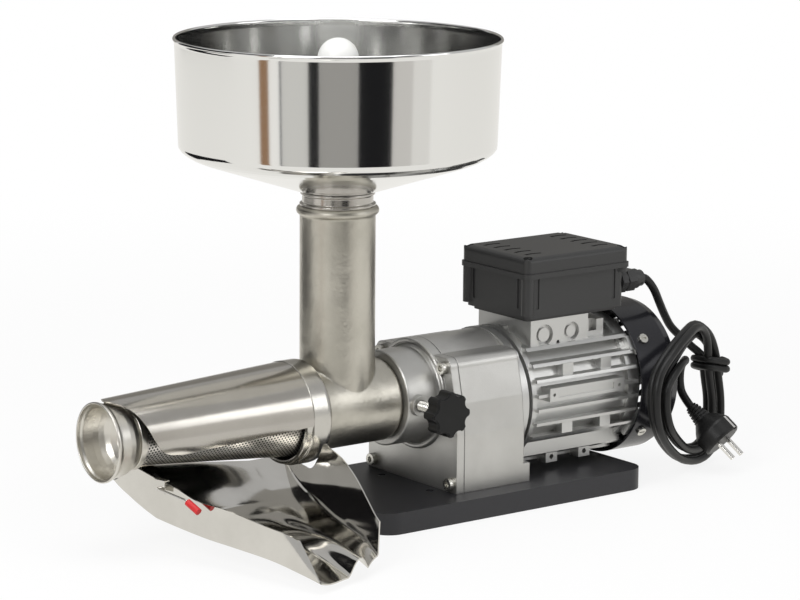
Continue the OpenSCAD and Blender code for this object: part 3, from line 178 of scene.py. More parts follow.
class Graph:
    """The node tree of one material or world."""

    def __init__(self, tree: bpy.types.NodeTree) -> None:
        """Takes an empty tree.

        Args:
            tree: The tree to fill.
        """
        tree.nodes.clear()
        self.tree = tree

    def node(
        self,
        kind: str,
        settings: dict[str, object] | None = None,
        inputs: dict[int | str, Value] | None = None,
    ) -> bpy.types.Node:
        """Adds one node.

        Args:
            kind: The node's type.
            settings: Its own settings, set first. A ramp's stops are given as "stops".
            inputs: Values or links for its sockets, by name or place.

        Returns:
            The node.
        """
        made = self.tree.nodes.new(kind)
        for name, value in (settings or {}).items():
            if name == "stops":
                ramp = made.color_ramp
                while len(ramp.elements) < len(value):
                    ramp.elements.new(1.0)
                for element, (place, colour) in zip(ramp.elements, value):
                    element.position = place
                    element.color = (*colour, 1.0)
            else:
                setattr(made, name, value)
        for name, value in (inputs or {}).items():
            self.join(made.inputs[name], value)
        return made

    def join(self, target: bpy.types.NodeSocket, value: Value) -> None:
        """Sets a socket to a value, or links it.

        Args:
            target: The input socket.
            value: What it gets.
        """
        if isinstance(value, Wire):
            value = value.socket
        if isinstance(value, bpy.types.NodeSocket):
            self.tree.links.new(value, target)
        elif isinstance(value, (int, float)):
            target.default_value = float(value)
        else:
            full = len(target.default_value) == 4 and len(value) == 3
            target.default_value = (*value, 1.0) if full else tuple(value)

    def place(self) -> bpy.types.NodeSocket:
        """Where the surface is on the object, in metres."""
        return self.node("ShaderNodeTexCoord").outputs["Object"]

    def axes(self, where: bpy.types.NodeSocket) -> tuple[Wire, Wire, Wire]:
        """The three numbers of a vector."""
        parts = self.node("ShaderNodeSeparateXYZ", None, {0: where}).outputs
        return Wire(self, parts[0]), Wire(self, parts[1]), Wire(self, parts[2])

    def noise(
        self, where: bpy.types.NodeSocket, scale: float, detail: float = 3.0, rough: float = 0.55
    ) -> Wire:
        """Soft random variation from about 0 to 1.

        Args:
            where: The place on the object.
            scale: How fine it is, in cells to the metre.
            detail: Finer layers on top.
            rough: How strong those layers are.

        Returns:
            The varying value.
        """
        made = self.node(
            "ShaderNodeTexNoise",
            {"noise_dimensions": "3D"},
            {"Vector": where, "Scale": scale, "Detail": detail, "Roughness": rough},
        )
        return Wire(self, made.outputs["Fac"])

    def blend(self, amount: Value, first: Value, second: Value) -> bpy.types.NodeSocket:
        """Mixes two colours.

        Args:
            amount: How much of the second.
            first: The colour at 0.
            second: The colour at 1.

        Returns:
            The mixed colour.
        """
        made = self.node("ShaderNodeMix", {"data_type": "RGBA", "clamp_factor": True})
        self.join(made.inputs[0], amount)
        self.join(made.inputs[6], first)
        self.join(made.inputs[7], second)
        return made.outputs[2]

    def stretched(self, where: bpy.types.NodeSocket, factors: Point) -> bpy.types.NodeSocket:
        """The place with each axis scaled, so that a pattern runs along one of them."""
        inputs = {0: where, 1: factors}
        return self.node("ShaderNodeVectorMath", {"operation": "MULTIPLY"}, inputs).outputs[0]

    def background(self, level: float, strength: float) -> bpy.types.NodeSocket:
        """Even grey surroundings."""
        inputs = {"Color": (level, level, level), "Strength": strength}
        return self.node("ShaderNodeBackground", None, inputs).outputs[0]

    def glow(self, colour: Colour) -> bpy.types.NodeSocket:
        """A surface that shines in its own colour, whatever falls on it."""
        return self.node("ShaderNodeEmission", None, {"Color": colour, "Strength": 1.0}).outputs[0]

    def either(self, amount: Value, first: Value, second: Value) -> bpy.types.NodeSocket:
        """Mixes two shaders, the first at 0 and the second at 1."""
        return self.node("ShaderNodeMixShader", None, {0: amount, 1: first, 2: second}).outputs[0]

    def onlookers(self) -> tuple[Wire, Wire]:
        """Tells who sees the surface.

        Returns:
            1 where the viewer sees it, straight or through something clear, and 1 where a mirror does.
        """
        path = self.node("ShaderNodeLightPath").outputs
        seen = Wire(self, path["Is Camera Ray"]).most(Wire(self, path["Is Transmission Ray"]))
        return seen, Wire(self, path["Is Glossy Ray"])


class Grain(Enum):
    """Which way the fine lines of a surface run, as how often they repeat to the metre on each axis."""

    NONE = (0.0, 0.0, 0.0)
    ALONG_SCREW = (25.0, 1200.0, 1200.0)
    ROUND_SCREW = (2600.0, 30.0, 30.0)
    ROUND_NECK = (26.0, 26.0, 2600.0)


@dataclass(frozen=True)
class WeatheringAndShade:
    """How every finish varies, wears and gathers dust, and how dark the painted shade in its crevices is.

    A pair called a range is where soft noise, or a direction, starts to count and where it counts in full.

    Attributes:
        finer: How many cells of the small mottle go into one of the broad one.
        patch_range: The patches' range in the broad mottle.
        fine_share: How much the small mottle adds to the patches.
        broad_swing: How much more the broad mottle moves the roughness than the small one does.
        edge_range: From how much of a softened turn an edge is rubbed.
        rub_range: The rubbed spots' range in the small mottle.
        rub_roughness: How much rougher a rubbed spot is.
        crevice_reach: How far off a surface still closes a crevice, in metres.
        crevice_range: How open a crevice is where it starts to be lit, and where it is in full.
        painted_shade_colour: The colour of the painted shade deep in a crevice.
        dust_up: How far up a surface has to look to hold dust.
        dust_range: The dust's range in the small mottle.
        dust_roughness: How much rougher dust makes it.
        dust_colour: The dust's colour.
        roughness_range: Between which values the roughness is held.
        coat_roughness: The clear coat's roughness.
        samples: How many looks round the soft edges and the crevices take.
    """

    finer: float = 9.0
    patch_range: Pair = (0.36, 0.66)
    fine_share: float = 0.35
    broad_swing: float = 1.4
    edge_range: Pair = (0.02, 0.22)
    rub_range: Pair = (0.38, 0.62)
    rub_roughness: float = 0.08
    crevice_reach: float = 0.03
    crevice_range: Pair = (0.35, 0.98)
    # the colour of the painted shade in crevices
    painted_shade_colour: Colour = (0.035, 0.033, 0.029)
    dust_up: Pair = (0.4, 1.0)
    dust_range: Pair = (0.42, 0.8)
    dust_roughness: float = 0.4
    dust_colour: Colour = (0.42, 0.41, 0.39)
    roughness_range: Pair = (0.03, 0.95)
    coat_roughness: float = 0.12
    samples: int = 6


AGE_AND_SHADE = WeatheringAndShade()


@dataclass(frozen=True)
class Finish:
    """A surface finish, from which one material is made.

    Lengths are in metres and scales in cells to the metre.

    Attributes:
        name: The material's name.
        slot: The material slot of its pieces; not used.
        colour: The main colour.
        second: The colour of its patches.
        roughness: Its middle roughness.
        swing: How far the roughness varies.
        metallic: 1 for bare metal.
        mottle: How fine the patches are.
        patch: How strong they are.
        pits: How deep its small pits are.
        pit_scale: How fine they are.
        dents: How deep its wide dents are.
        dent_scale: How fine they are.
        edge: The radius that its edges seem to have.
        wear: How far its edges are rubbed.
        worn: The colour there.
        dust: How much dust lies on top.
        shade: How dark the painted shade in its crevices is.
        coat: How strong its clear coat is.
        specular: How strongly it mirrors where it isn't metal.
        grain: Which way its fine lines run.
        grain_depth: How deep they are.
    """

    name: str
    slot: str
    colour: Colour
    second: Colour
    roughness: float
    swing: float = 0.06
    metallic: float = 0.0
    mottle: float = 22.0
    patch: float = 0.5
    pits: float = 0.0
    pit_scale: float = 900.0
    dents: float = 0.0
    dent_scale: float = 14.0
    edge: float = 0.0
    wear: float = 0.0
    worn: Colour = (0.6, 0.6, 0.6)
    dust: float = 0.0
    shade: float = 0.0
    coat: float = 0.0
    specular: float = 0.5
    grain: Grain = Grain.NONE
    grain_depth: float = 0.0

    def material(self) -> bpy.types.Material:
        """Makes the material, or gives the one that was made before.

        Returns:
            The material.
        """
        made = bpy.data.materials.get(self.name)
        if made is None:
            made = bpy.data.materials.new(self.name)
            made.use_nodes = True
            self.paint(Graph(made.node_tree))
        return made

    def paint(self, graph: Graph) -> bpy.types.Node:
        """Fills the tree with the finish.

        Args:
            graph: The empty tree.

        Returns:
            The surface node.
        """
        where = graph.place()
        broad = graph.noise(where, self.mottle, 4.0)
        fine = graph.noise(where, self.mottle * AGE_AND_SHADE.finer, 3.0, 0.6)
        patches = broad.ramp(*AGE_AND_SHADE.patch_range) * self.patch + fine * (AGE_AND_SHADE.fine_share * self.patch)
        colour = graph.blend(patches, self.colour, self.second)
        swing = (broad - 0.5) * (self.swing * AGE_AND_SHADE.broad_swing) + (fine - 0.5) * self.swing
        roughness = self.roughness + swing
        normal = self.rounded_edges(graph)
        if self.wear and normal is not None:
            rub = self.rubbed(graph, normal) * fine.ramp(*AGE_AND_SHADE.rub_range) * self.wear
            colour = graph.blend(rub, colour, self.worn)
            roughness = roughness + rub * AGE_AND_SHADE.rub_roughness
        # Painted shade: crevices are darkened towards a dark colour through an ambient-occlusion mask.
        if self.shade:
            colour = graph.blend(self.crevices(graph) * self.shade, colour, AGE_AND_SHADE.painted_shade_colour)
        if self.dust:
            up = graph.axes(graph.node("ShaderNodeNewGeometry").outputs["Normal"])[2]
            settled = up.ramp(*AGE_AND_SHADE.dust_up) * fine.ramp(*AGE_AND_SHADE.dust_range) * self.dust
            colour = graph.blend(settled, colour, AGE_AND_SHADE.dust_colour)
            roughness = roughness + settled * AGE_AND_SHADE.dust_roughness
        smoothest, roughest = AGE_AND_SHADE.roughness_range
        surface = graph.node(
            "ShaderNodeBsdfPrincipled",
            None,
            {
                "Base Color": colour,
                "Roughness": roughness.most(smoothest).least(roughest),
                "Metallic": self.metallic,
                "Coat Weight": self.coat,
                "Coat Roughness": AGE_AND_SHADE.coat_roughness,
                "Specular IOR Level": self.specular,
            },
        )
        self.relief(graph, where, surface, normal)
        graph.node("ShaderNodeOutputMaterial", None, {"Surface": surface.outputs[0]})
        return surface

    def crevices(self, graph: Graph) -> Wire:
        """The mask of painted shade: 1 deep in a crevice, where shade falls, and 0 on open surface."""
        settings, inputs = {"samples": AGE_AND_SHADE.samples}, {"Distance": AGE_AND_SHADE.crevice_reach}
        near = graph.node("ShaderNodeAmbientOcclusion", settings, inputs)
        return 1 - Wire(graph, near.outputs["AO"]).ramp(*AGE_AND_SHADE.crevice_range)

    def rounded_edges(self, graph: Graph) -> bpy.types.NodeSocket | None:
        """Softens the edges in the light, where the finish has an edge radius.

        Args:
            graph: The tree.

        Returns:
            The surface direction, or None without an edge radius.
        """
        if not self.edge:
            return None
        return graph.node("ShaderNodeBevel", {"samples": AGE_AND_SHADE.samples}, {"Radius": self.edge}).outputs[0]

    def rubbed(self, graph: Graph, normal: bpy.types.NodeSocket) -> Wire:
        """Finds the rubbed edges.

        Args:
            graph: The tree.
            normal: The softened surface direction.

        Returns:
            1 on an edge and 0 elsewhere.
        """
        inputs = {0: normal, 1: graph.node("ShaderNodeNewGeometry").outputs["Normal"]}
        same = graph.node("ShaderNodeVectorMath", {"operation": "DOT_PRODUCT"}, inputs).outputs["Value"]
        return (1 - Wire(graph, same)).ramp(*AGE_AND_SHADE.edge_range)

    def relief(
        self,
        graph: Graph,
        where: bpy.types.NodeSocket,
        surface: bpy.types.Node,
        normal: bpy.types.NodeSocket | None,
    ) -> None:
        """Adds pits, dents and lines to the surface direction.

        Args:
            graph: The tree.
            where: The place on the object.
            surface: The surface node.
            normal: The softened surface direction, if any.
        """
        layers: list[tuple[Wire, float]] = []
        if self.dents:
            layers.append((graph.noise(where, self.dent_scale, 1.0, 0.4), self.dents))
        if self.grain is not Grain.NONE:
            lines = graph.noise(graph.stretched(where, self.grain.value), 1.0, 2.0, 0.6)
            layers.append((lines, self.grain_depth))
        if self.pits:
            layers.append((graph.noise(where, self.pit_scale, 3.0, 0.65), self.pits))
        for height, depth in layers:
            inputs: dict[int | str, Value] = {"Height": height, "Strength": 1.0, "Distance": depth}
            if normal is not None:
                inputs["Normal"] = normal
            normal = graph.node("ShaderNodeBump", None, inputs).outputs[0]
        if normal is not None:
            graph.join(surface.inputs["Normal"], normal)


@dataclass(frozen=True)
class PunchedFinish(Finish):
    """Sheet with rows of small round holes, rolled to a cone about the screw axis. The holes are not cut:
    they are painted as dark discs of painted shade.

    Lengths are in millimetres.

    Attributes:
        hole: The holes' diameter.
        spacing: From hole to hole along a row.
        hole_shade_colour: The painted shade that shows in a hole, for its unlit inside.
        depth_roughness: How rough that is.
        waist_r: The cone's radius at its outlet end.
        slope: How much the radius grows with each millimetre of length.
        span: Between which stations the holes lie.
    """

    hole: float = 1.75
    spacing: float = 2.9
    hole_shade_colour: Colour = (0.012, 0.012, 0.012)
    depth_roughness: float = 0.9
    waist_r: float = 24.5
    slope: float = 0.0882
    span: Pair = (-343.0, -181.0)

    def paint(self, graph: Graph) -> bpy.types.Node:
        """Fills the tree with the finish and paints its holes dark, as painted shade.

        Args:
            graph: The empty tree.

        Returns:
            The surface node.
        """
        surface = super().paint(graph)
        x, y, z = graph.axes(graph.place())
        turn = y.angle_to(z - LINES.axis_height * MM)
        lean = math.atan(self.slope)
        reach = (x - LINES.strainer_end * MM + self.waist_r * MM / self.slope) / math.cos(lean)
        opened = turn * math.sin(lean)
        flat_x = reach * opened.cosine() / (self.spacing * MM)
        flat_y = reach * opened.wave() / (self.spacing * MM * math.sqrt(3))
        ends = (x - self.span[0] * MM).above(0.0) * (self.span[1] * MM - x).above(0.0)
        # Painted shade: where a hole lies, the colour turns near black, for the unlit inside seen through it.
        painted_holes = self.hole_row(flat_x, flat_y).most(self.hole_row(flat_x + 0.5, flat_y + 0.5)) * ends
        sheet = surface.inputs["Base Color"].links[0].from_socket
        rough = Wire(graph, surface.inputs["Roughness"].links[0].from_socket)
        graph.join(surface.inputs["Base Color"], graph.blend(painted_holes, sheet, self.hole_shade_colour))
        graph.join(surface.inputs["Metallic"], 1 - painted_holes)
        graph.join(surface.inputs["Roughness"], rough + painted_holes * (self.depth_roughness - self.roughness))
        return surface

    def hole_row(self, u: Wire, v: Wire) -> Wire:
        """One set of holes on a rectangular net.

        Args:
            u: Place along the net, in spacings.
            v: Place across it, in row pairs.

        Returns:
            1 inside a hole.
        """
        du = u.fraction() - 0.5
        dv = (v.fraction() - 0.5) * math.sqrt(3)
        return ((self.hole / self.spacing / 2) ** 2 - du * du - dv * dv).above(0.0)


# Finishes of this press

MIRROR_STEEL = Finish(
    name="mirror_steel", slot="mirror_steel", colour=(0.63, 0.615, 0.58), second=(0.45, 0.44, 0.41),
    roughness=0.06, swing=0.03, metallic=1.0, mottle=17.0, patch=0.9, dents=0.0009, dent_scale=7.0,
    grain=Grain.ROUND_NECK, grain_depth=0.000003,
)
OUTLET_STEEL = Finish(
    name="outlet_steel", slot="mirror_steel", colour=(0.56, 0.54, 0.51), second=(0.44, 0.42, 0.39),
    roughness=0.20, metallic=1.0, mottle=24.0, edge=0.0006, grain=Grain.ROUND_NECK,
    grain_depth=0.000012,
)
GUARD_STEEL = Finish(
    name="guard_steel", slot="mirror_steel", colour=(0.51, 0.49, 0.455), second=(0.44, 0.42, 0.385),
    roughness=0.17, swing=0.05, metallic=1.0, mottle=14.0, dents=0.0006, dent_scale=12.0,
    grain=Grain.ALONG_SCREW, grain_depth=0.000006,
)
CUP_STEEL = Finish(
    name="cup_steel", slot="mirror_steel", colour=(0.72, 0.70, 0.65), second=(0.64, 0.62, 0.57),
    roughness=0.32, swing=0.03, metallic=1.0, mottle=9.0, grain=Grain.ROUND_SCREW, grain_depth=0.000003,
)
RING_STEEL = Finish(
    name="ring_steel", slot="mirror_steel", colour=(0.60, 0.585, 0.545), second=(0.50, 0.485, 0.45),
    roughness=0.24, swing=0.07, metallic=1.0, mottle=30.0, edge=0.0006, grain=Grain.ROUND_SCREW,
    grain_depth=0.000012,
)
STRAINER_SHEET = PunchedFinish(
    name="punched_sheet", slot="sheet_steel", colour=(0.60, 0.585, 0.555), second=(0.50, 0.485, 0.46),
    roughness=0.30, swing=0.08, metallic=1.0, mottle=40.0,
)
TRAY_SHEET = Finish(
    name="tray_sheet", slot="sheet_steel", colour=(0.68, 0.665, 0.63), second=(0.58, 0.565, 0.53),
    roughness=0.075, swing=0.05, metallic=1.0, mottle=17.0, dents=0.0010, dent_scale=12.0,
    pits=0.000006, pit_scale=500.0,
)
SPRING_WIRE = Finish(
    name="spring_wire", slot="nickel", colour=(0.70, 0.69, 0.67), second=(0.55, 0.54, 0.52),
    roughness=0.22, metallic=1.0, mottle=60.0,
)
TINNED_CASTING = Finish(
    name="tinned_casting", slot="tinned_iron", colour=(0.62, 0.595, 0.53), second=(0.50, 0.48, 0.42),
    roughness=0.37, swing=0.12, metallic=1.0, mottle=26.0, patch=0.6, pits=0.00022, pit_scale=330.0,
    dents=0.0009, dent_scale=46.0, edge=0.0028, wear=0.35, worn=(0.66, 0.64, 0.58),
)
# shade darkens this casting's crevices with painted shade
GEARBOX_CASTING = Finish(
    name="gearbox_casting", slot="gearbox_aluminium", colour=(0.60, 0.595, 0.575),
    second=(0.52, 0.515, 0.495), roughness=0.38, swing=0.08, metallic=0.9, mottle=20.0, pits=0.00009,
    pit_scale=700.0, dents=0.0004, dent_scale=40.0, edge=0.0014, wear=0.4, worn=(0.74, 0.74, 0.72),
    shade=0.35,
)
# shade darkens the gaps between the fins with painted shade, at full strength
RAW_ALUMINIUM = Finish(
    name="raw_aluminium", slot="raw_aluminium", colour=(0.20, 0.195, 0.18), second=(0.10, 0.097, 0.088),
    roughness=0.27, swing=0.12, metallic=1.0, mottle=55.0, patch=0.8, pits=0.00028, pit_scale=420.0,
    dents=0.0009, dent_scale=70.0, edge=0.0013, wear=0.6, worn=(0.62, 0.61, 0.58), shade=1.0,
)
BLACK_PAINT = Finish(
    name="black_paint", slot="black_paint", colour=(0.007, 0.007, 0.007), second=(0.011, 0.011, 0.011),
    roughness=0.34, swing=0.10, mottle=30.0, pits=0.00010, pit_scale=520.0, edge=0.0012, wear=0.22,
    worn=(0.07, 0.07, 0.07), dust=0.01, specular=0.12,
)
GLOSS_BLACK = Finish(
    name="gloss_black", slot="gloss_black", colour=(0.012, 0.012, 0.013), second=(0.018, 0.018, 0.019),
    roughness=0.20, swing=0.07, mottle=24.0, dents=0.0003, dent_scale=40.0, edge=0.001, coat=0.35,
    dust=0.02, specular=0.35,
)
BLACK_PLASTIC = Finish(
    name="black_plastic", slot="black_plastic", colour=(0.008, 0.008, 0.008),
    second=(0.012, 0.012, 0.012), roughness=0.30, swing=0.10, mottle=40.0, pits=0.00006,
    pit_scale=1400.0, edge=0.0009, wear=0.3, worn=(0.06, 0.06, 0.062), dust=0.02, specular=0.3,
)
KNOB_PLASTIC = Finish(
    name="knob_plastic", slot="black_plastic", colour=(0.009, 0.009, 0.009),
    second=(0.014, 0.014, 0.014), roughness=0.40, swing=0.10, mottle=60.0, pits=0.00005,
    pit_scale=1600.0, edge=0.0012, wear=0.25, worn=(0.05, 0.05, 0.05), specular=0.25,
)
CORD_COVER = Finish(
    name="cord_cover", slot="cord_black", colour=(0.010, 0.010, 0.010), second=(0.015, 0.015, 0.015),
    roughness=0.40, swing=0.10, mottle=80.0, pits=0.00004, pit_scale=1300.0, dust=0.02, specular=0.3,
)
WHITE_PLASTIC = Finish(
    name="white_plastic", slot="white_plastic", colour=(0.82, 0.81, 0.76), second=(0.76, 0.75, 0.70),
    roughness=0.38, swing=0.08, mottle=30.0, edge=0.001,
)
RED_SLEEVE = Finish(
    name="red_sleeve", slot="red_plastic", colour=(0.62, 0.012, 0.014), second=(0.48, 0.008, 0.010),
    roughness=0.42, swing=0.10, mottle=120.0, edge=0.0005,
)
RED_SEAL = Finish(
    name="red_seal", slot="red_seal", colour=(0.45, 0.05, 0.03), second=(0.36, 0.04, 0.03),
    roughness=0.5, swing=0.08, mottle=60.0,
)
BLACK_SEAL = Finish(
    name="black_seal", slot="black_seal", colour=(0.02, 0.02, 0.02), second=(0.03, 0.03, 0.03),
    roughness=0.6, swing=0.08, mottle=60.0,
)
ZINC = Finish(
    name="zinc_plate", slot="zinc", colour=(0.66, 0.65, 0.61), second=(0.54, 0.53, 0.48),
    roughness=0.27, swing=0.08, metallic=1.0, mottle=90.0, edge=0.0004,
)
NICKEL = Finish(
    name="nickel", slot="nickel", colour=(0.72, 0.70, 0.66), second=(0.62, 0.60, 0.56), roughness=0.18,
    metallic=1.0, mottle=90.0, edge=0.0004,
)
GROUND_STEEL = Finish(
    name="ground_steel", slot="steel", colour=(0.55, 0.55, 0.56), second=(0.45, 0.45, 0.46),
    roughness=0.28, swing=0.08, metallic=1.0, mottle=60.0, edge=0.0005,
)
STACKED_STEEL = Finish(
    name="stacked_steel", slot="laminated_steel", colour=(0.28, 0.29, 0.31), second=(0.20, 0.21, 0.22),
    roughness=0.42, swing=0.08, metallic=0.9, mottle=60.0, grain=Grain.ROUND_SCREW, grain_depth=0.00002,
)
BRONZE = Finish(
    name="bronze", slot="bronze", colour=(0.52, 0.33, 0.14), second=(0.42, 0.26, 0.11), roughness=0.34,
    swing=0.08, metallic=1.0, mottle=60.0,
)
COPPER = Finish(
    name="copper_wire", slot="copper", colour=(0.66, 0.25, 0.10), second=(0.45, 0.15, 0.06),
    roughness=0.34, swing=0.08, metallic=1.0, mottle=90.0,
)
GREY_PLASTIC = Finish(
    name="grey_plastic", slot="grey_plastic", colour=(0.12, 0.12, 0.12), second=(0.15, 0.15, 0.15),
    roughness=0.45, swing=0.08, mottle=40.0,
)


# Mesh toolkit


class Axis(Enum):
    """The line that a turned piece is turned about."""

    SCREW = "screw"
    NECK = "neck"
    UPRIGHT = "upright"


SHORT_EDGE = 3.0
CORNER_GAP = 0.5
LEAST_TURN = 0.05
CORNER_SHARE = 0.45
MERGE_WITHIN = 1e-6


def shade(mesh: bpy.types.Mesh, sharp: float) -> None:
    """Shades a mesh smooth, with edges that turn more than sharp degrees left sharp."""
    mesh.shade_smooth()
    mesh.set_sharp_from_angle(angle=math.radians(sharp))


def link(name: str, data: bpy.types.ID) -> bpy.types.Object:
    """Makes an object of some data and links it to the scene."""
    made = bpy.data.objects.new(name, data)
    bpy.context.scene.collection.objects.link(made)
    return made


def object_from(
    name: str, points: Iterable[Sequence[float]], faces: Iterable[Sequence[int]], sharp: float = 33.0
) -> bpy.types.Object:
    """Makes a mesh object from points in millimetres.

    Args:
        name: The object's name.
        points: Its corners.
        faces: Its faces, as places in points.
        sharp: Edges that turn more than this many degrees stay sharp.

    Returns:
        The object, linked to the scene.
    """
    mesh = bpy.data.meshes.new(name)
    mesh.from_pydata([tuple(c * MM for c in p) for p in points], [], [tuple(f) for f in faces])
    work = bmesh.new()
    work.from_mesh(mesh)
    bmesh.ops.remove_doubles(work, verts=work.verts, dist=MERGE_WITHIN)
    bmesh.ops.recalc_face_normals(work, faces=work.faces)
    work.to_mesh(mesh)
    work.free()
    shade(mesh, sharp)
    return link(name, mesh)


def band_faces(rows: int, columns: int, whole: bool = False) -> list[Face]:
    """Joins rows of points, each a closed ring, into one closed surface.

    Args:
        rows: How many rings there are.
        columns: Points on each ring.
        whole: Whether the last ring joins the first. Otherwise both ends get a lid.

    Returns:
        The faces.
    """
    faces: list[Face] = []
    for row in range(rows if whole else rows - 1):
        here, there = row * columns, (row + 1) % rows * columns
        for k in range(columns):
            n = (k + 1) % columns
            faces.append((here + k, here + n, there + n, there + k))
    if not whole:
        faces.append(tuple(range(columns)))
        faces.append(tuple((rows - 1) * columns + k for k in range(columns)))
    return faces


def sheet_faces(
    outer: Sequence[Sequence[Point]], inner: Sequence[Sequence[Point]]
) -> tuple[list[Point], list[Face]]:
    """Joins two grids of points into one closed sheet.

    Args:
        outer: The grid of one side.
        inner: The grid of the other side, of the same size.

    Returns:
        The points and the faces.
    """
    rows, columns = len(outer), len(outer[0])
    points = [p for grid in (outer, inner) for row in grid for p in row]
    o = rows * columns
    faces: list[Face] = []
    for j in range(rows - 1):
        for i in range(columns - 1):
            a, b = j * columns + i, (j + 1) * columns + i
            faces.append((a, a + 1, b + 1, b))
            faces.append((o + a, o + b, o + b + 1, o + a + 1))
    for i in range(columns - 1):
        far = (rows - 1) * columns + i
        faces.append((i, o + i, o + i + 1, i + 1))
        faces.append((far, far + 1, o + far + 1, o + far))
    for j in range(rows - 1):
        a, b = j * columns, (j + 1) * columns
        e, f = a + columns - 1, b + columns - 1
        faces.append((a, b, o + b, o + a))
        faces.append((e, o + e, o + f, f))
    return points, faces


def round_bar(line: Sequence[Vector], radius: float, sides: int) -> tuple[list[Point], list[Face]]:
    """Lays a round bar along a line.

    Args:
        line: The bar's centreline.
        radius: Its radius.
        sides: Points round it.

    Returns:
        The points and the faces.
    """
    points: list[Point] = []
    last = len(line) - 1
    for i, middle in enumerate(line):
        along = (line[min(i + 1, last)] - line[max(i - 1, 0)]).normalized()
        side = along.cross(Vector((0, 0, 1))).normalized()
        other = side.cross(along)
        for k in range(sides):
            b = 2 * math.pi * k / sides
            points.append(tuple(middle + radius * (math.cos(b) * side + math.sin(b) * other)))
    return points, band_faces(last + 1, sides)


def rounded(outline: Sequence[Pair], radius: float, steps: int = 4) -> list[Pair]:
    """Rounds every corner of a closed outline.

    Args:
        outline: Its corners.
        radius: The radius, which is less where an edge is short.
        steps: Points on each corner, less one.

    Returns:
        The rounded outline.
    """
    made: list[Pair] = []
    count = len(outline)
    for i in range(count):
        before, corner, after = (Vector(outline[(i + k) % count]) for k in (-1, 0, 1))
        one, two = before - corner, after - corner
        turn = one.angle(two, 0.0) if one.length and two.length else 0.0
        if not LEAST_TURN < turn < math.pi - LEAST_TURN:
            made.append(tuple(corner))
            continue
        reach = min(radius / math.tan(turn / 2), one.length * CORNER_SHARE, two.length * CORNER_SHARE)
        start, end = corner + one.normalized() * reach, corner + two.normalized() * reach
        for k in range(steps + 1):
            t = k / steps
            made.append(tuple((1 - t) ** 2 * start + 2 * t * (1 - t) * corner + t * t * end))
    return made


def dense(outline: Sequence[Pair], step: float = 5.0) -> list[Pair]:
    """Adds points along a closed outline's long edges, so that smooth shading stays even.

    Args:
        outline: Its corners.
        step: The longest stretch left.

    Returns:
        The outline with more points.
    """
    made: list[Pair] = []
    for k, start in enumerate(outline):
        end = outline[(k + 1) % len(outline)]
        length = math.dist(start, end)
        places = [0.0]
        if length > SHORT_EDGE:
            near = CORNER_GAP / length
            count = max(1, round(length / step))
            places += [near, *(n / count for n in range(1, count)), 1.0 - near]
        made.extend((start[0] + (end[0] - start[0]) * t, start[1] + (end[1] - start[1]) * t) for t in places)
    return made


def turned(
    name: str, outline: Sequence[Pair], axis: Axis, segments: int = 192, sharp: float = 33.0
) -> bpy.types.Object:
    """Turns a closed outline about an axis.

    Args:
        name: The object's name.
        outline: Corners as radius and station, in millimetres.
        axis: The axis.
        segments: Steps round it.
        sharp: Edges that turn more than this many degrees stay sharp.

    Returns:
        The object.
    """
    outline = dense(outline)
    middle = LINES.neck_x if axis is Axis.NECK else 0.0
    points: list[Point] = []
    for s in range(segments):
        a = 2 * math.pi * s / segments
        for r, station in outline:
            if axis is Axis.SCREW:
                points.append((station, r * math.sin(a), LINES.axis_height + r * math.cos(a)))
            else:
                points.append((middle + r * math.cos(a), r * math.sin(a), station))
    return object_from(name, points, band_faces(segments, len(outline), whole=True), sharp)


def bump(u: float) -> float:
    """A smooth hump, 1 at 0 and 0 from -1 outwards and from 1 outwards."""
    return (1 + math.cos(math.pi * u)) / 2 if abs(u) < 1 else 0.0


def ease(t: float) -> float:
    """Runs smoothly from 0 to 1 while t does, and stays there outside."""
    t = min(1.0, max(0.0, t))
    return t * t * (3 - 2 * t)


def grown(t: float, start: float) -> float:
    """0 up to a start, and from there evenly to 1 at 1."""
    return max(0.0, (t - start) / (1 - start))


def smooth_lookup(x: float, table: Sequence[Pair]) -> float:
    """Reads a table of pairs through a smooth curve.

    Args:
        x: Where to read.
        table: Pairs of place and value, by growing place.

    Returns:
        The value.
    """
    if x <= table[0][0]:
        return table[0][1]
    if x >= table[-1][0]:
        return table[-1][1]
    k = max(i for i in range(len(table) - 1) if table[i][0] <= x)
    slopes = []
    for i in (k, k + 1):
        before, after = table[max(i - 1, 0)], table[min(i + 1, len(table) - 1)]
        slopes.append((after[1] - before[1]) / (after[0] - before[0]))
    (left, a), (right, b) = table[k], table[k + 1]
    width = right - left
    t = (x - left) / width
    return (
        (2 * t**3 - 3 * t**2 + 1) * a + (t**3 - 2 * t**2 + t) * width * slopes[0]
        + (3 * t**2 - 2 * t**3) * b + (t**3 - t**2) * width * slopes[1]
    )


def between(a: Vector, b: Vector, c: Vector, d: Vector, t: float) -> Vector:
    """The point at t, from 0 to 1, on the smooth stretch from b to c, with a before and d after it."""
    return 0.5 * (2 * b + (c - a) * t + (2 * a - 5 * b + 4 * c - d) * t * t + (3 * b - a - 3 * c + d) * t**3)


def through(points: Sequence[Point], steps: int) -> list[Point]:
    """A smooth line through points.

    Args:
        points: The points it passes.
        steps: Points on each stretch.

    Returns:
        The line's points.
    """
    stops = [Vector(p) for p in (points[0], *points, points[-1])]
    made: list[Point] = []
    for k in range(len(points) - 1):
        made.extend(tuple(between(*stops[k:k + 4], j / steps)) for j in range(steps))
    return [*made, tuple(stops[-1])]


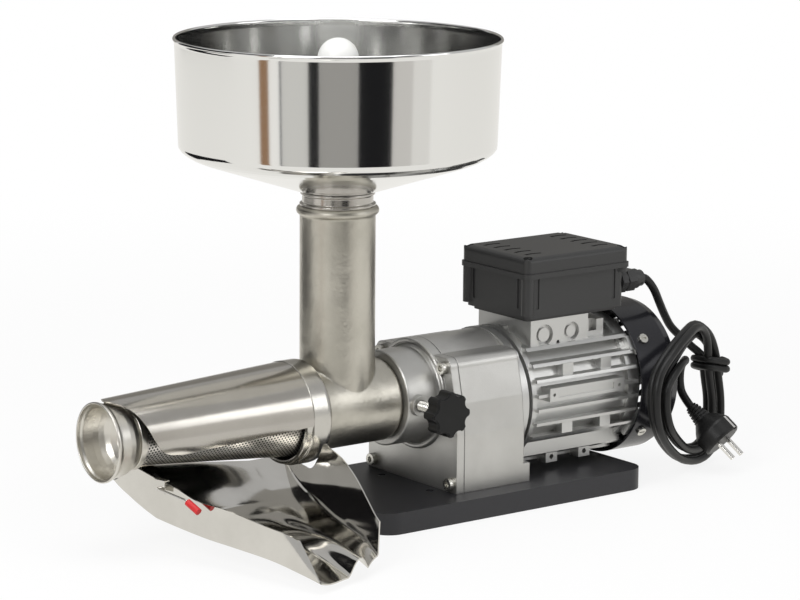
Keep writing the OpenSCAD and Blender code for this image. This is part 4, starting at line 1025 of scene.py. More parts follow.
class Dresser:
    """Gives finishes and bodies to pieces and CAD nodes, and reports them."""

    def __init__(self) -> None:
        """Starts with nothing dressed."""
        self.nodes: dict[str, bpy.types.Object] = frame["nodes"]
        self.dressed: set[str] = set()

    def node(self, name: str, finish: Finish, sharp: float = 30.0) -> None:
        """Dresses a CAD node.

        Args:
            name: The node.
            finish: Its finish.
            sharp: Edges that turn more than this many degrees stay sharp.
        """
        part = self.nodes[name]
        part.data.materials.clear()
        part.data.materials.append(finish.material())
        shade(part.data, sharp)
        self.dressed.add(name)
        LOG.info("node %s: %s", name, finish.name)

    def piece(self, made: bpy.types.Object, finish: Finish, body: str, *replaced: str) -> bpy.types.Object:
        """Dresses a piece of the scene and puts it on its body.

        Args:
            made: The piece.
            finish: Its finish.
            body: The body it moves with.
            replaced: The CAD nodes that it stands for.

        Returns:
            The piece.
        """
        made.data.materials.clear()
        made.data.materials.append(finish.material())
        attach(made, body)
        if replaced:
            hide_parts(*replaced)
            self.dressed.update(replaced)
        LOG.info("piece %s: %s on %s", made.name, finish.name, body)
        return made

    def rest(self) -> list[str]:
        """The nodes that nothing has dressed yet."""
        return sorted(set(self.nodes) - self.dressed)


# Sub-assemblies


@dataclass
class SubAssembly:
    """Pieces that belong together.

    Attributes:
        looks: A finish, the angle from which edges stay sharp, and the CAD nodes that get them.
    """

    looks: ClassVar[tuple[tuple[Finish, float, tuple[str, ...]], ...]] = ()

    def build(self, dress: Dresser) -> None:
        """Makes the pieces and dresses them.

        Args:
            dress: What dresses them.
        """
        for finish, sharp, names in self.looks:
            for name in names:
                dress.node(name, finish, sharp)


class Stand(SubAssembly):
    """The base plate and what fixes the gearbox to it."""

    looks = (
        (BLACK_PAINT, 30.0, ("base_plate",)),
        (ZINC, 30.0, ("base_screws",)),
    )


class Gearbox(SubAssembly):
    """The two-part gearbox with its shafts, gears, bearings and seals."""

    looks = (
        (GEARBOX_CASTING, 25.0, ("gearbox_housing", "gearbox_cover")),
        (BLACK_SEAL, 30.0, ("cover_gasket", "output_seal")),
        (GROUND_STEEL, 30.0, (
            "output_bearings", "output_shaft", "output_gear", "lay_shaft", "lay_gear", "motor_shaft",
        )),
        (ZINC, 30.0, ("cover_screws",)),
        (BRONZE, 30.0, ("lay_bushes",)),
    )


class Motor(SubAssembly):
    """The finned motor with its windings, rotor, fan and fan cover."""

    looks = (
        (RAW_ALUMINIUM, 25.0, ("motor_frame", "motor_front_shield", "motor_rear_shield")),
        (GROUND_STEEL, 30.0, ("motor_bearings",)),
        (STACKED_STEEL, 30.0, ("stator_core", "rotor_core")),
        (COPPER, 30.0, ("stator_windings",)),
        (GREY_PLASTIC, 30.0, ("motor_fan",)),
        (GLOSS_BLACK, 25.0, ("fan_cover",)),
        (ZINC, 30.0, ("fan_cover_screws",)),
    )


class TerminalBox(SubAssembly):
    """The box on the motor that holds the capacitor and lets the lead in."""

    looks = (
        (BLACK_PLASTIC, 25.0, ("terminal_box", "terminal_lid")),
        (BLACK_SEAL, 30.0, ("lid_gasket",)),
        (GROUND_STEEL, 30.0, ("lid_screws",)),
        (BLACK_PLASTIC, 25.0, ("cable_gland",)),
        (WHITE_PLASTIC, 30.0, ("capacitor",)),
    )


@dataclass
class MainsLead(SubAssembly):
    """The black lead, tied in an upright hank, with its moulded plug.

    Lengths are in millimetres.

    Attributes:
        diameter: The lead's diameter.
        gland_exit: Where it leaves the cable gland.
        down: Its way from the gland to the hank.
        outer: One outer turn of the hank, from its top to the left, down and round.
        inner: One inner turn, from the same place.
        first: The point of a turn, counted from 0, where turn 0 of the hank is.
        layer: From the hank's middle to its back layer.
        stops: Turn, depth and layer of the hank, as loop_point has them.
        turn_steps: Points on each turn.
        homeward: Its way from the hank to the plug.
        tie_at: The middle of the tie.
        tie_r: The tie's radius.
        tie_half: Half the width and depth that the tie goes round.
        tie_square: How round the tie's corners are across and in depth, 1 for an ellipse.
        tie_turns: How many turns the tie makes.
        tie_climb: How much one turn lies above the next, in tie radii.
        tie_slope: How far the tie drops with each millimetre across.
        plug_face: The middle of the plug's face.
        plug_way: Where the face looks.
        plug_r: The plug's radius.
        plug_length: Its length, with the strain relief.
        ribs: How many ribs the strain relief has.
        rib_pitch: From rib to rib.
    """

    looks = ((NICKEL, 30.0, ("plug_pins",)),)

    diameter: float = 7.6
    gland_exit: Point = (178.0, -35.0, 180.94)
    down: tuple[Point, ...] = (
        (183.0, -35.0, 180.2), (189.0, -34.9, 176.0), (197.0, -33.9, 167.0), (206.0, -31.0, 154.0),
        (216.0, -27.5, 140.5), (226.0, -25.0, 128.5), (237.0, -26.5, 118.0), (246.5, -31.0, 108.5),
    )
    outer: tuple[Point, ...] = (
        (229.2, -57.0, 134.7), (200.6, -73.0, 131.6), (174.6, -83.0, 120.1), (155.4, -88.0, 103.4),
        (149.6, -90.0, 80.7), (157.4, -86.0, 54.9), (179.5, -74.0, 32.2), (209.5, -60.0, 13.4),
        (241.4, -48.0, 6.4), (264.6, -40.0, 13.0), (275.5, -37.0, 31.9), (275.9, -37.0, 56.7),
        (271.2, -38.0, 80.2), (264.4, -41.0, 104.4), (252.1, -47.0, 122.9),
    )
    inner: tuple[Point, ...] = (
        (229.5, -57.0, 124.3), (206.8, -69.0, 121.3), (187.0, -79.0, 112.2), (169.3, -86.0, 97.6),
        (163.3, -88.0, 78.5), (171.1, -84.0, 55.4), (192.0, -72.0, 36.6), (217.0, -58.7, 21.6),
        (240.2, -48.4, 17.0), (255.0, -42.5, 22.4), (262.4, -39.6, 36.6), (263.2, -39.0, 58.0),
        (258.7, -40.0, 78.4), (252.6, -43.0, 98.4), (242.2, -49.0, 114.4),
    )
    first: int = 12
    layer: Point = (1.3, 4.8, 0.0)
    stops: tuple[Point, ...] = (
        (-0.067, 1.0, 1.0), (0.75, 1.0, 1.0), (0.98, 0.0, 1.0), (1.75, 0.0, 1.0), (1.98, 0.0, -1.0),
        (2.75, 0.0, -1.0), (2.98, 1.0, -1.0), (3.55, 1.0, -1.0),
    )
    turn_steps: int = 60
    homeward: tuple[Point, ...] = (
        (166.3, -90.8, 92.8), (176.5, -87.5, 101.5), (189.5, -81.0, 106.8), (201.5, -72.5, 107.5),
        (212.5, -60.0, 104.8), (220.0, -48.0, 97.4), (224.3, -41.0, 88.0), (226.4, -39.0, 77.0),
        (227.3, -41.8, 67.8),
    )
    tie_at: Point = (262.0, -40.4, 91.0)
    tie_r: float = 3.2
    tie_half: Pair = (10.4, 9.0)
    tie_square: Pair = (0.45, 0.62)
    tie_turns: int = 2
    tie_climb: float = 2.1
    tie_slope: float = 0.28
    plug_face: Point = (242.5, -81.7, 28.8)
    plug_way: Point = (0.3, -0.7, -0.65)
    plug_r: float = 19.0
    plug_length: float = 44.0
    ribs: int = 5
    rib_pitch: float = 3.1

    def loop_point(self, turn: float, depth: float, layer: float) -> Point:
        """A point of the hank's turns.

        Args:
            turn: Turns from the right of the hank, going down first.
            depth: 0 for an outer turn and 1 for an inner one.
            layer: 1 for the layer behind and -1 for the one in front.

        Returns:
            The point, in millimetres.
        """
        count = len(self.outer)
        at = (self.first - turn * count) % count
        k, t = int(at), at - int(at)
        there = layer * Vector(self.layer)
        for loop, share in ((self.outer, 1 - depth), (self.inner, depth)):
            there += share * between(*(Vector(loop[(k + j) % count]) for j in (-1, 0, 1, 2)), t)
        return tuple(there)

    def turns(self) -> list[Point]:
        """The lead's way through the hank.

        Returns:
            Its points, in millimetres.
        """
        made: list[Point] = []
        begin, end = (round(stop[0] * self.turn_steps) for stop in (self.stops[0], self.stops[-1]))
        for n in range(begin, end + 1):
            turn = n / self.turn_steps
            k = max((i for i in range(len(self.stops) - 1) if self.stops[i][0] <= turn), default=0)
            here, there = self.stops[k], self.stops[k + 1]
            t = ease((turn - here[0]) / (there[0] - here[0]))
            made.append(self.loop_point(turn, *(a + (b - a) * t for a, b in zip(here[1:], there[1:]))))
        return made

    def route(self) -> list[Point]:
        """The lead's centreline, from the gland through the hank to the plug.

        Each straight way is laid together with a piece of the hank, so that it joins without a kink, and that
        piece is then left off it.

        Returns:
            Its points, in millimetres.
        """
        turns = self.turns()
        steps = 4
        line = through((self.gland_exit, *self.down, turns[0], turns[steps]), steps)[:-steps - 1]
        line += turns
        way = Vector(self.plug_way).normalized()
        back_end = Vector(self.plug_face) - way * self.plug_length
        steps = 5
        ends = [line[-steps - 1], line[-1], *self.homeward, back_end + way * 1.0, back_end + way * 13.0]
        return line + through(ends, steps)[steps + 1:]

    def lead(self, dress: Dresser, line: Sequence[Point]) -> bpy.types.Object:
        """Makes the lead as one round curve.

        Args:
            dress: What dresses it.
            line: Its centreline.

        Returns:
            The curve.
        """
        curve = bpy.data.curves.new("mains_lead", "CURVE")
        curve.dimensions = "3D"
        curve.bevel_depth = self.diameter / 2 * MM
        curve.bevel_resolution = 5
        curve.use_fill_caps = True
        spline = curve.splines.new("POLY")
        spline.points.add(len(line) - 1)
        for point, at in zip(spline.points, line):
            point.co = (*(c * MM for c in at), 1.0)
        spline.use_smooth = True
        return dress.piece(link("mains_lead", curve), CORD_COVER, "stand", "cord_tube", "cord_hank")

    def tie(self, dress: Dresser) -> bpy.types.Object:
        """Makes the short cord that is wound round the hank's right side.

        Args:
            dress: What dresses it.

        Returns:
            The tie.
        """
        count, sides = 120, 14
        line: list[Vector] = []
        for n in range(count + 1):
            share = n / count
            a = 2 * math.pi * self.tie_turns * share
            x, y = (
                (half + self.tie_r) * math.copysign(abs(c) ** square, c)
                for half, square, c in zip(self.tie_half, self.tie_square, (math.cos(a), math.sin(a)))
            )
            rise = self.tie_climb * self.tie_r * (2 * share - 1) - self.tie_slope * x
            line.append(Vector(self.tie_at) + Vector((x, y, rise)))
        made = object_from("hank_tie", *round_bar(line, self.tie_r, sides), 40.0)
        return dress.piece(made, CORD_COVER, "stand")

    def plug_outline(self) -> list[Pair]:
        """The plug's outline, with the ribs of its strain relief.

        Returns:
            Its corners, as radius and distance behind the face.
        """
        r, end = self.plug_r, self.plug_length
        outline: list[Pair] = [
            (0.0, 0.0), (r - 1.6, 0.0), (r - 0.4, 1.0), (r, 2.6), (r, 13.5), (r - 0.6, 15.6),
            (r - 2.6, 18.4), (14.2, 21.6), (11.6, 24.6), (10.4, 26.0), (9.3, 27.2),
        ]
        for k in range(self.ribs):
            z, wide = 27.6 + k * self.rib_pitch, 8.8 - 0.62 * k
            outline += [(wide, z), (wide, z + 1.7), (wide - 1.5, z + 2.0), (wide - 1.5, z + 2.9)]
        return outline + [(5.6, end - 0.8), (5.2, end), (0.0, end)]

    def recess_blocks(self) -> bpy.types.Object:
        """Makes the blocks that leave a recess in each side of the plug.

        Returns:
            Both blocks as one object.
        """
        size, behind_face = Vector((4.2, 5.2, 17.0)), 7.5
        mesh = bpy.data.meshes.new("clip_recess")
        work = bmesh.new()
        for side in (-1, 1):
            box = bmesh.ops.create_cube(work, size=1.0)["verts"]
            bmesh.ops.scale(work, vec=size * MM, verts=box)
            bmesh.ops.translate(work, vec=Vector((side * self.plug_r, 0, behind_face)) * MM, verts=box)
        work.to_mesh(mesh)
        work.free()
        return link("clip_recess", mesh)

    def plug(self, dress: Dresser) -> bpy.types.Object:
        """Makes the moulded plug.

        Args:
            dress: What dresses it.

        Returns:
            The plug.
        """
        made = turned("plug_moulding", self.plug_outline(), Axis.UPRIGHT, 72)
        blocks = self.recess_blocks()
        carve = made.modifiers.new("recess", "BOOLEAN")
        carve.object, carve.solver = blocks, "EXACT"
        shaped = bpy.data.meshes.new_from_object(made.evaluated_get(bpy.context.evaluated_depsgraph_get()))
        made.modifiers.clear()
        made.data = shaped
        bpy.data.objects.remove(blocks)
        back = -Vector(self.plug_way).normalized()
        tip = Matrix.Rotation(math.acos(back.z), 4, "Y")
        swing = Matrix.Rotation(math.atan2(back.y, back.x), 4, "Z")
        shaped.transform(Matrix.Translation(Vector(self.plug_face) * MM) @ swing @ tip)
        shade(shaped, 33.0)
        return dress.piece(made, CORD_COVER, "stand", "plug_body")

    def build(self, dress: Dresser) -> None:
        """Args:
            dress: What dresses them.
        """
        line = self.route()
        lead = self.lead(dress, line)
        tie = self.tie(dress)
        plug = self.plug(dress)
        super().build(dress)


class PressHead(SubAssembly):
    """The cast neck and barrel with the auger that turns in it."""

    looks = (
        (TINNED_CASTING, 28.0, ("casting",)),
        (RED_SEAL, 28.0, ("shaft_seal",)),
        (WHITE_PLASTIC, 28.0, ("auger_core", "auger_flight")),
        (GROUND_STEEL, 28.0, ("auger_tang",)),
    )


@dataclass
class StrainerSet(SubAssembly):
    """The punched strainer with its ring, splash guard and outlet cup.

    Lengths are in millimetres, and stations lie along the screw axis.

    Attributes:
        sheet: How thick the sheet pieces are.
        fit: The gap between pieces that seat on each other.
        seat_x: The barrel's mouth, where the strainer's flange sits.
        ring_x: The ring's rear end.
        ring_front: The ring's front end, where the guard leaves it.
        strainer_r: The strainer's radius at its flange.
        flange: How far the flange stands out.
        flange_sheet: How thick it is.
        waist_r: The cup's waist, which the strainer goes into.
        tuck: How much narrower the strainer ends.
        barrel_bore: The barrel's inside radius.
        barrel_r: Its outside radius.
        ring_r: The ring's radius.
        guard_step: How far the guard lies inside the ring's outside.
        guard_end_r: The guard's radius at the strainer's end.
        drop_end: How far the guard reaches below the screw axis there.
        drop_ring: How far it does at the ring.
        guard_front: The guard's front edge, as degrees from straight up and station.
        outlet_r: The cup's radius at its rim.
        rim_x: Where the rim is.
        collar_r: The radius of the sheet ring behind the cup.
        collar_x: Where that ring ends.
        collar_width: How wide it is.
    """

    sheet: float = 1.0
    fit: float = 0.05
    seat_x: float = -175.0
    ring_x: float = -168.0
    ring_front: float = -191.0
    strainer_r: float = 38.5
    flange: float = 4.4
    flange_sheet: float = 1.2
    waist_r: float = 24.5
    tuck: float = 0.9
    barrel_bore: float = 30.0
    barrel_r: float = 36.5
    ring_r: float = 45.0
    guard_step: float = 0.5
    guard_end_r: float = 37.0
    drop_end: float = 12.5
    drop_ring: float = 3.2
    guard_front: tuple[Pair, ...] = (
        (0.0, -373.0), (11.0, -370.0), (25.0, -363.5), (38.0, -358.0), (59.0, -351.5), (72.0, -348.0),
        (88.0, -343.0), (98.0, -338.5), (103.0, -334.0), (106.5, -328.5), (109.0, -320.0),
    )
    outlet_r: float = 33.7
    rim_x: float = -378.0
    collar_r: float = 26.6
    collar_x: float = -346.0
    collar_width: float = 5.0

    def along_guard(self, x: float) -> float:
        """How far a station is from the ring's front, 1 at the strainer's end."""
        return (x - self.ring_front) / (LINES.strainer_end - self.ring_front)

    def guard_r(self, x: float) -> float:
        """Outside radius of the guard at a station."""
        ring_end = self.ring_r - self.guard_step
        return ring_end + (self.guard_end_r - ring_end) * self.along_guard(x)

    def guard_limit(self, x: float) -> float:
        """Angle from straight up to the guard's lower edge at a station, in degrees."""
        drop = self.drop_ring + (self.drop_end - self.drop_ring) * min(1.0, self.along_guard(x))
        return 90.0 + math.degrees(math.asin(drop / self.guard_r(x)))

    def strainer(self, dress: Dresser) -> bpy.types.Object:
        """Makes the punched cone with its flange.

        Args:
            dress: What dresses it.

        Returns:
            The strainer.
        """
        flange_r, flange_x = self.strainer_r + self.flange, self.seat_x - self.flange_sheet
        wide, narrow, end = self.strainer_r - self.sheet, self.waist_r - self.tuck, self.collar_x + 0.5
        outline = [
            (self.barrel_bore, self.seat_x), (flange_r, self.seat_x), (flange_r, flange_x),
            (self.strainer_r, flange_x), (narrow, end), (narrow - self.sheet, end),
            (wide, self.seat_x - 2.8), (wide, flange_x), (self.barrel_bore, flange_x),
        ]
        made = turned("strainer_sheet", outline, Axis.SCREW, 180)
        return dress.piece(made, STRAINER_SHEET, "stand", "strainer")

    def ring(self, dress: Dresser) -> bpy.types.Object:
        """Makes the ring that holds the strainer on the barrel.

        Args:
            dress: What dresses it.

        Returns:
            The ring.
        """
        front, seat, flange_x = self.ring_front, self.seat_x, self.seat_x - self.flange_sheet
        bore, over = self.barrel_r + self.fit, self.strainer_r + self.flange + 0.1
        cone, under, lip = self.strainer_r + 1.2, self.sheet + self.fit, front - 6
        outline = [
            (bore, seat), (over, seat), (over, flange_x), (cone, flange_x), (cone, lip),
            (self.guard_r(lip) - under, lip), (self.guard_r(front) - under, front), (self.ring_r, front),
            (self.ring_r, seat - 1), (self.ring_r - 0.4, seat + 1.6), (self.ring_r - 3, self.ring_x - 3),
            (self.barrel_r + 2, self.ring_x), (bore, self.ring_x),
        ]
        made = turned("front_ring_turned", rounded(outline, 0.7, 3), Axis.SCREW, 200)
        return dress.piece(made, RING_STEEL, "stand", "front_ring")

    def guard(self, dress: Dresser) -> bpy.types.Object:
        """Makes the splash guard, a half cone of thin sheet whose front edge slants back from the top.

        Args:
            dress: What dresses it.

        Returns:
            The guard.
        """
        around, along, crowding = 160, 44, 1.15
        grids: tuple[list[list[Point]], list[list[Point]]] = ([], [])
        for j in range(along + 1):
            for grid, under in zip(grids, (0.0, self.sheet)):
                row: list[Point] = []
                for i in range(around + 1):
                    s = i / around * 2 - 1
                    s = math.copysign(1 - (1 - abs(s)) ** crowding, s)
                    front = smooth_lookup(abs(s) * self.guard_limit(LINES.strainer_end), self.guard_front)
                    x = self.ring_front + (front - self.ring_front) * j / along
                    r, a = self.guard_r(x) - under, math.radians(s * self.guard_limit(x))
                    row.append((x, r * math.sin(a), LINES.axis_height + r * math.cos(a)))
                grid.append(row)
        made = object_from("guard_sheet", *sheet_faces(*grids), 40.0)
        return dress.piece(made, GUARD_STEEL, "stand", "splash_guard")

    def cup(self, dress: Dresser) -> bpy.types.Object:
        """Makes the spun outlet cup with its rolled rim.

        Args:
            dress: What dresses it.

        Returns:
            The cup.
        """
        rim, r, end = self.rim_x, self.outlet_r, self.collar_x
        outline = [
            (r - 1.6, rim), (r, rim), (r, rim + 2.5), (r - 1.7, rim + 5), (r - 2.2, rim + 9),
            (r - 2.9, rim + 14), (r - 4.1, rim + 19), (r - 6.2, rim + 23.5), (r - 8.4, rim + 26.5),
            (r - 8.8, end - 3), (r - 8.8, end), (r - 9.8, end), (r - 9.8, end - 2.4), (r - 11.6, end - 3.4),
            (r - 15.2, end - 1.4), (r - 17.2, end), (r - 17.2, end - 1.2), (r - 15.6, end - 2.6),
            (r - 10.6, end - 5.2), (r - 7.4, rim + 23.2), (r - 5.2, rim + 18.6), (r - 4.0, rim + 13.8),
            (r - 3.3, rim + 9), (r - 2.8, rim + 5), (r - 1.6, rim + 2.5),
        ]
        made = turned("outlet_cup_spun", rounded(outline, 6.0, 5), Axis.SCREW, 200, sharp=50.0)
        return dress.piece(made, CUP_STEEL, "stand", "outlet_cup")

    def band(self, dress: Dresser) -> bpy.types.Object:
        """Makes the sheet ring behind the cup.

        Args:
            dress: What dresses it.

        Returns:
            The ring.
        """
        back, front = self.collar_x, self.collar_x - self.collar_width
        bore, lip = self.outlet_r - 8.9 + self.sheet / 2, 1.2
        outline = [
            (bore, front), (self.collar_r, front), (self.collar_r, back), (self.collar_r - lip, back),
            (self.collar_r - lip, front + lip), (bore, front + lip),
        ]
        made = turned("outlet_band", rounded(outline, 0.5, 3), Axis.SCREW, 160)
        return dress.piece(made, CUP_STEEL, "stand")

    def build(self, dress: Dresser) -> None:
        """Makes the strainer, ring, guard, sheet ring and cup."""
        for make in (self.strainer, self.ring, self.guard, self.band, self.cup):
            make(dress)


@dataclass
class HopperSet(SubAssembly):
    """The spun hopper with its outlet tube, and the pusher that stands in it.

    Lengths are in millimetres.

    Attributes:
        rim_r: The hopper's radius at its rim.
        foot_r: Its radius where the wall meets the cone.
        height: Its height above the neck.
        foot: The height of the wall's lower end above the neck.
        tube: The height of the cone's lower end above the neck.
        tube_r: The outlet tube's radius.
        sheet: The bowl's wall.
        tube_wall: The tube's wall.
        seat_depth: How far the tube goes into the neck.
        bead: Half the width and half the height of the rolled rim.
    """

    looks = ((WHITE_PLASTIC, 35.0, ("pusher_rod", "pusher_foot", "pusher_head")),)

    rim_r: float = 140.0
    foot_r: float = 135.7
    height: float = 144.0
    foot: float = 52.0
    tube: float = 12.0
    tube_r: float = 30.5
    sheet: float = 1.0
    tube_wall: float = 1.2
    seat_depth: float = 12.0
    bead: Pair = (1.35, 1.75)

    def bowl(self, dress: Dresser) -> bpy.types.Object:
        """Makes the bowl with its rolled rim.

        Args:
            dress: What dresses it.

        Returns:
            The bowl.
        """
        top, foot, low = (LINES.neck_top + up for up in (self.height, self.foot, self.tube))
        wall, f, u, t = self.rim_r - 1.4, self.foot_r, self.tube_r, self.sheet
        wide, tall = self.bead
        turns = (math.radians(d) for d in range(-60, 211, 15))
        rolled = [(self.rim_r - wide + wide * math.cos(a), top - tall + tall * math.sin(a)) for a in turns]
        outline = [
            (u, low), (u + 5.0, low + 1.2), (f - 18, foot - 12.5), (f - 10.0, foot - 9.4),
            (f - 5.2, foot - 6.6), (f - 2.0, foot - 3.9), (f - 0.4, foot - 1.6), (f, foot + 1.0),
            (wall, top - 5.0), *rolled, (wall - t, top - 6.0), (f - t, foot + 1.0), (f - 1.5, foot - 1.2),
            (f - 3.2, foot - 3.4), (f - 6.0, foot - 5.6), (f - 10.5, foot - 8.2), (f - 18.5, foot - 11.4),
            (u, low + t + 0.1), (u - self.tube_wall, low + t), (u - self.tube_wall, low),
        ]
        made = turned("hopper_bowl_spun", outline, Axis.NECK, 288, sharp=50.0)
        return dress.piece(made, MIRROR_STEEL, "hopper", "hopper_bowl")

    def outlet(self, dress: Dresser) -> bpy.types.Object:
        """Makes the outlet tube with its two collars.

        Args:
            dress: What dresses it.

        Returns:
            The tube.
        """
        top, low, u = LINES.neck_top, LINES.neck_top + self.tube, self.tube_r
        bore, end, seat = u - self.tube_wall, top - self.seat_depth + 1, top + 0.05
        lower, upper = u + 2.2, u + 1.6
        outline = [
            (bore, end), (u, end), (u, seat), (lower, seat), (lower, top + 2), (u, top + 3), (u, low - 3),
            (upper, low - 2), (upper, low - 0.2), (u, low), (bore, low),
        ]
        made = turned("hopper_tube_turned", rounded(outline, 0.6, 3), Axis.NECK, 160)
        return dress.piece(made, OUTLET_STEEL, "hopper", "hopper_outlet")

    def build(self, dress: Dresser) -> None:
        """Makes the bowl and tube and dresses the pusher.

        Args:
            dress: What dresses them.
        """
        self.bowl(dress)
        self.outlet(dress)
        super().build(dress)


@dataclass
class JuiceTray(SubAssembly):
    """The folded sheet tray that carries the juice to the user's side, with its latch.

    Lengths are in millimetres. Stations run from 0 at the tray's back to 1 at its spout, and places across it
    from -1 at the outlet side to 1 at the motor side.

    Attributes:
        centre_x: The tray's middle along the screw axis.
        sheet: How thick it is.
        back_half: Half its width at the back.
        spout_half: Half its width at the spout.
        reach: How far the spout lies before the screw axis.
        back: How far the back lies behind it.
        floor: The floor's height by distance behind the screw axis.
        left: The outlet-side rim's height, likewise.
        right: The motor-side rim's height, likewise.
        ridge: How high the ridge between the spout's two lobes is.
        ridge_from: The station where it begins.
        ridge_at: Where it lies across.
        ridge_half: How far it spreads to each side.
        tilt: How much the floor's motor side is lifted at the spout.
        tilt_from: The station where that begins.
        edge_rise: How much the floor turns up at its outlet and motor edges, at the back.
        spout_edge: How much it does at the spout.
        lip: How much the back edge is turned up.
        lip_to: The station where that ends.
        lip_fade: Between which places across it fades out.
        lean: How far the rims lean outwards.
        least_wall: The least height of a wall above the floor.
        notch: How far the spout's motor-side lobe falls back.
        lobe: How far its outlet-side lobe stands out.
        lobe_widths: How far across the outlet-side and the motor-side lobe reach.
        bed_tuck: How much the floor's places are drawn in towards its edges.
    """

    looks = (
        (TRAY_SHEET, 30.0, ("tray_tab",)),
        (SPRING_WIRE, 30.0, ("latch_wire",)),
        (RED_SLEEVE, 30.0, ("latch_sleeve",)),
    )

    centre_x: float = -253.0
    sheet: float = 1.2
    back_half: float = 92.0
    spout_half: float = 39.0
    reach: float = 183.0
    back: float = 42.0
    floor: tuple[Pair, ...] = (
        (-183, 5), (-170, 8), (-137, 14), (-100, 17), (-64, 19.5), (-10, 27), (12, 32), (28, 39), (48, 51.5),
    )
    left: tuple[Pair, ...] = (
        (-183, 38), (-170, 41), (-137, 45), (-96, 51), (-64, 53), (-40, 60), (-20, 64), (2, 69.6),
        (12, 70.4), (28, 56), (48, 52.5),
    )
    right: tuple[Pair, ...] = (
        (-183, 42), (-170, 45), (-150, 53), (-119, 66), (-88, 74.5), (-58, 77.5), (-46, 78.5), (-38, 69),
        (-20, 52), (0, 49), (28, 50), (48, 51.5),
    )
    ridge: float = 13.0
    ridge_from: float = 0.35
    ridge_at: float = 0.22
    ridge_half: float = 0.34
    tilt: float = 5.0
    tilt_from: float = 0.5
    edge_rise: Pair = (4.0, 0.4)
    spout_edge: float = 3.0
    lip: float = 12.0
    lip_to: float = 0.25
    lip_fade: Pair = (-0.5, 0.6)
    lean: float = 1.5
    least_wall: float = 1.4
    notch: float = 16.0
    lobe: float = 11.0
    lobe_widths: Pair = (1.1, 0.8)
    bed_tuck: float = 0.02

    def half(self, t: float) -> float:
        """Half width at station t."""
        return self.back_half + (self.spout_half - self.back_half) * t

    def station_y(self, t: float) -> float:
        """Where station t lies."""
        return self.back - (self.back + self.reach) * t

    def floor_z(self, t: float, q: float) -> float:
        """Height of the floor.

        Args:
            t: The station.
            q: The place across.

        Returns:
            The height in millimetres.
        """
        edge = self.edge_rise[1] if q > 0 else self.edge_rise[0]
        full, none = self.lip_fade
        lip_share = min(1.0, max(0.0, (none - q) / (none - full)))
        return (
            smooth_lookup(self.station_y(t), self.floor)
            + self.ridge * grown(t, self.ridge_from) * bump((q - self.ridge_at) / self.ridge_half)
            + self.tilt * grown(t, self.tilt_from) * max(0.0, q)
            + (edge + (self.spout_edge - edge) * t) * q**4
            + self.lip * max(0.0, 1 - t / self.lip_to) * lip_share
        )

    def row(self, t: float, wall: int = 14, bed: int = 84) -> list[Point]:
        """The underside's cross-section at a station.

        Args:
            t: The station.
            wall: Steps up each wall.
            bed: Steps across the floor.

        Returns:
            Its points, from the outlet-side rim to the motor-side rim.
        """
        y, w = self.station_y(t), self.half(t)
        low_left, low_right = self.floor_z(t, -1), self.floor_z(t, 1)
        left = max(smooth_lookup(y, self.left), low_left + self.least_wall)
        right = max(smooth_lookup(y, self.right), low_right + self.least_wall)
        back, out = self.notch * t**3, self.lobe * t**3
        made: list[Point] = []
        for k in range(wall):
            s = k / wall
            x = self.centre_x - w - self.lean * (1 - s)
            made.append((x, y + back - (back + out) * s, left + (low_left - left) * s))
        for k in range(bed + 1):
            q = -1 + 2 * k / bed
            shift = back * bump((q - 1) / self.lobe_widths[1]) - out * bump((q + 1) / self.lobe_widths[0])
            across = q * w * (1 - self.bed_tuck * q**4)
            made.append((self.centre_x + across, y + shift, self.floor_z(t, q)))
        for k in range(wall - 1, -1, -1):
            s = k / wall
            x = self.centre_x + w + self.lean * (1 - s)
            made.append((x, y + back, right + (low_right - right) * s))
        return made

    def lifted(self, row: Sequence[Point]) -> list[Point]:
        """The top side's cross-section over one of the underside.

        Args:
            row: The underside's points.

        Returns:
            The same points, one sheet thickness further in.
        """
        made: list[Point] = []
        for i, (x, y, z) in enumerate(row):
            before, after = row[max(i - 1, 0)], row[min(i + 1, len(row) - 1)]
            dx, dz = after[0] - before[0], after[2] - before[2]
            n = math.hypot(dx, dz)
            made.append((x - self.sheet * dz / n, y, z + self.sheet * dx / n))
        return made

    def build(self, dress: Dresser, stations: int = 84) -> None:
        """Makes the tray as one smooth folded sheet, and dresses its tab and latch.

        Args:
            dress: What dresses them.
            stations: Cross-sections along the tray, less one.
        """
        under = [self.row(s / stations) for s in range(stations + 1)]
        made = object_from("tray_folded", *sheet_faces(under, [self.lifted(row) for row in under]), 45.0)
        dress.piece(made, TRAY_SHEET, "tray", "tray")
        super().build(dress)


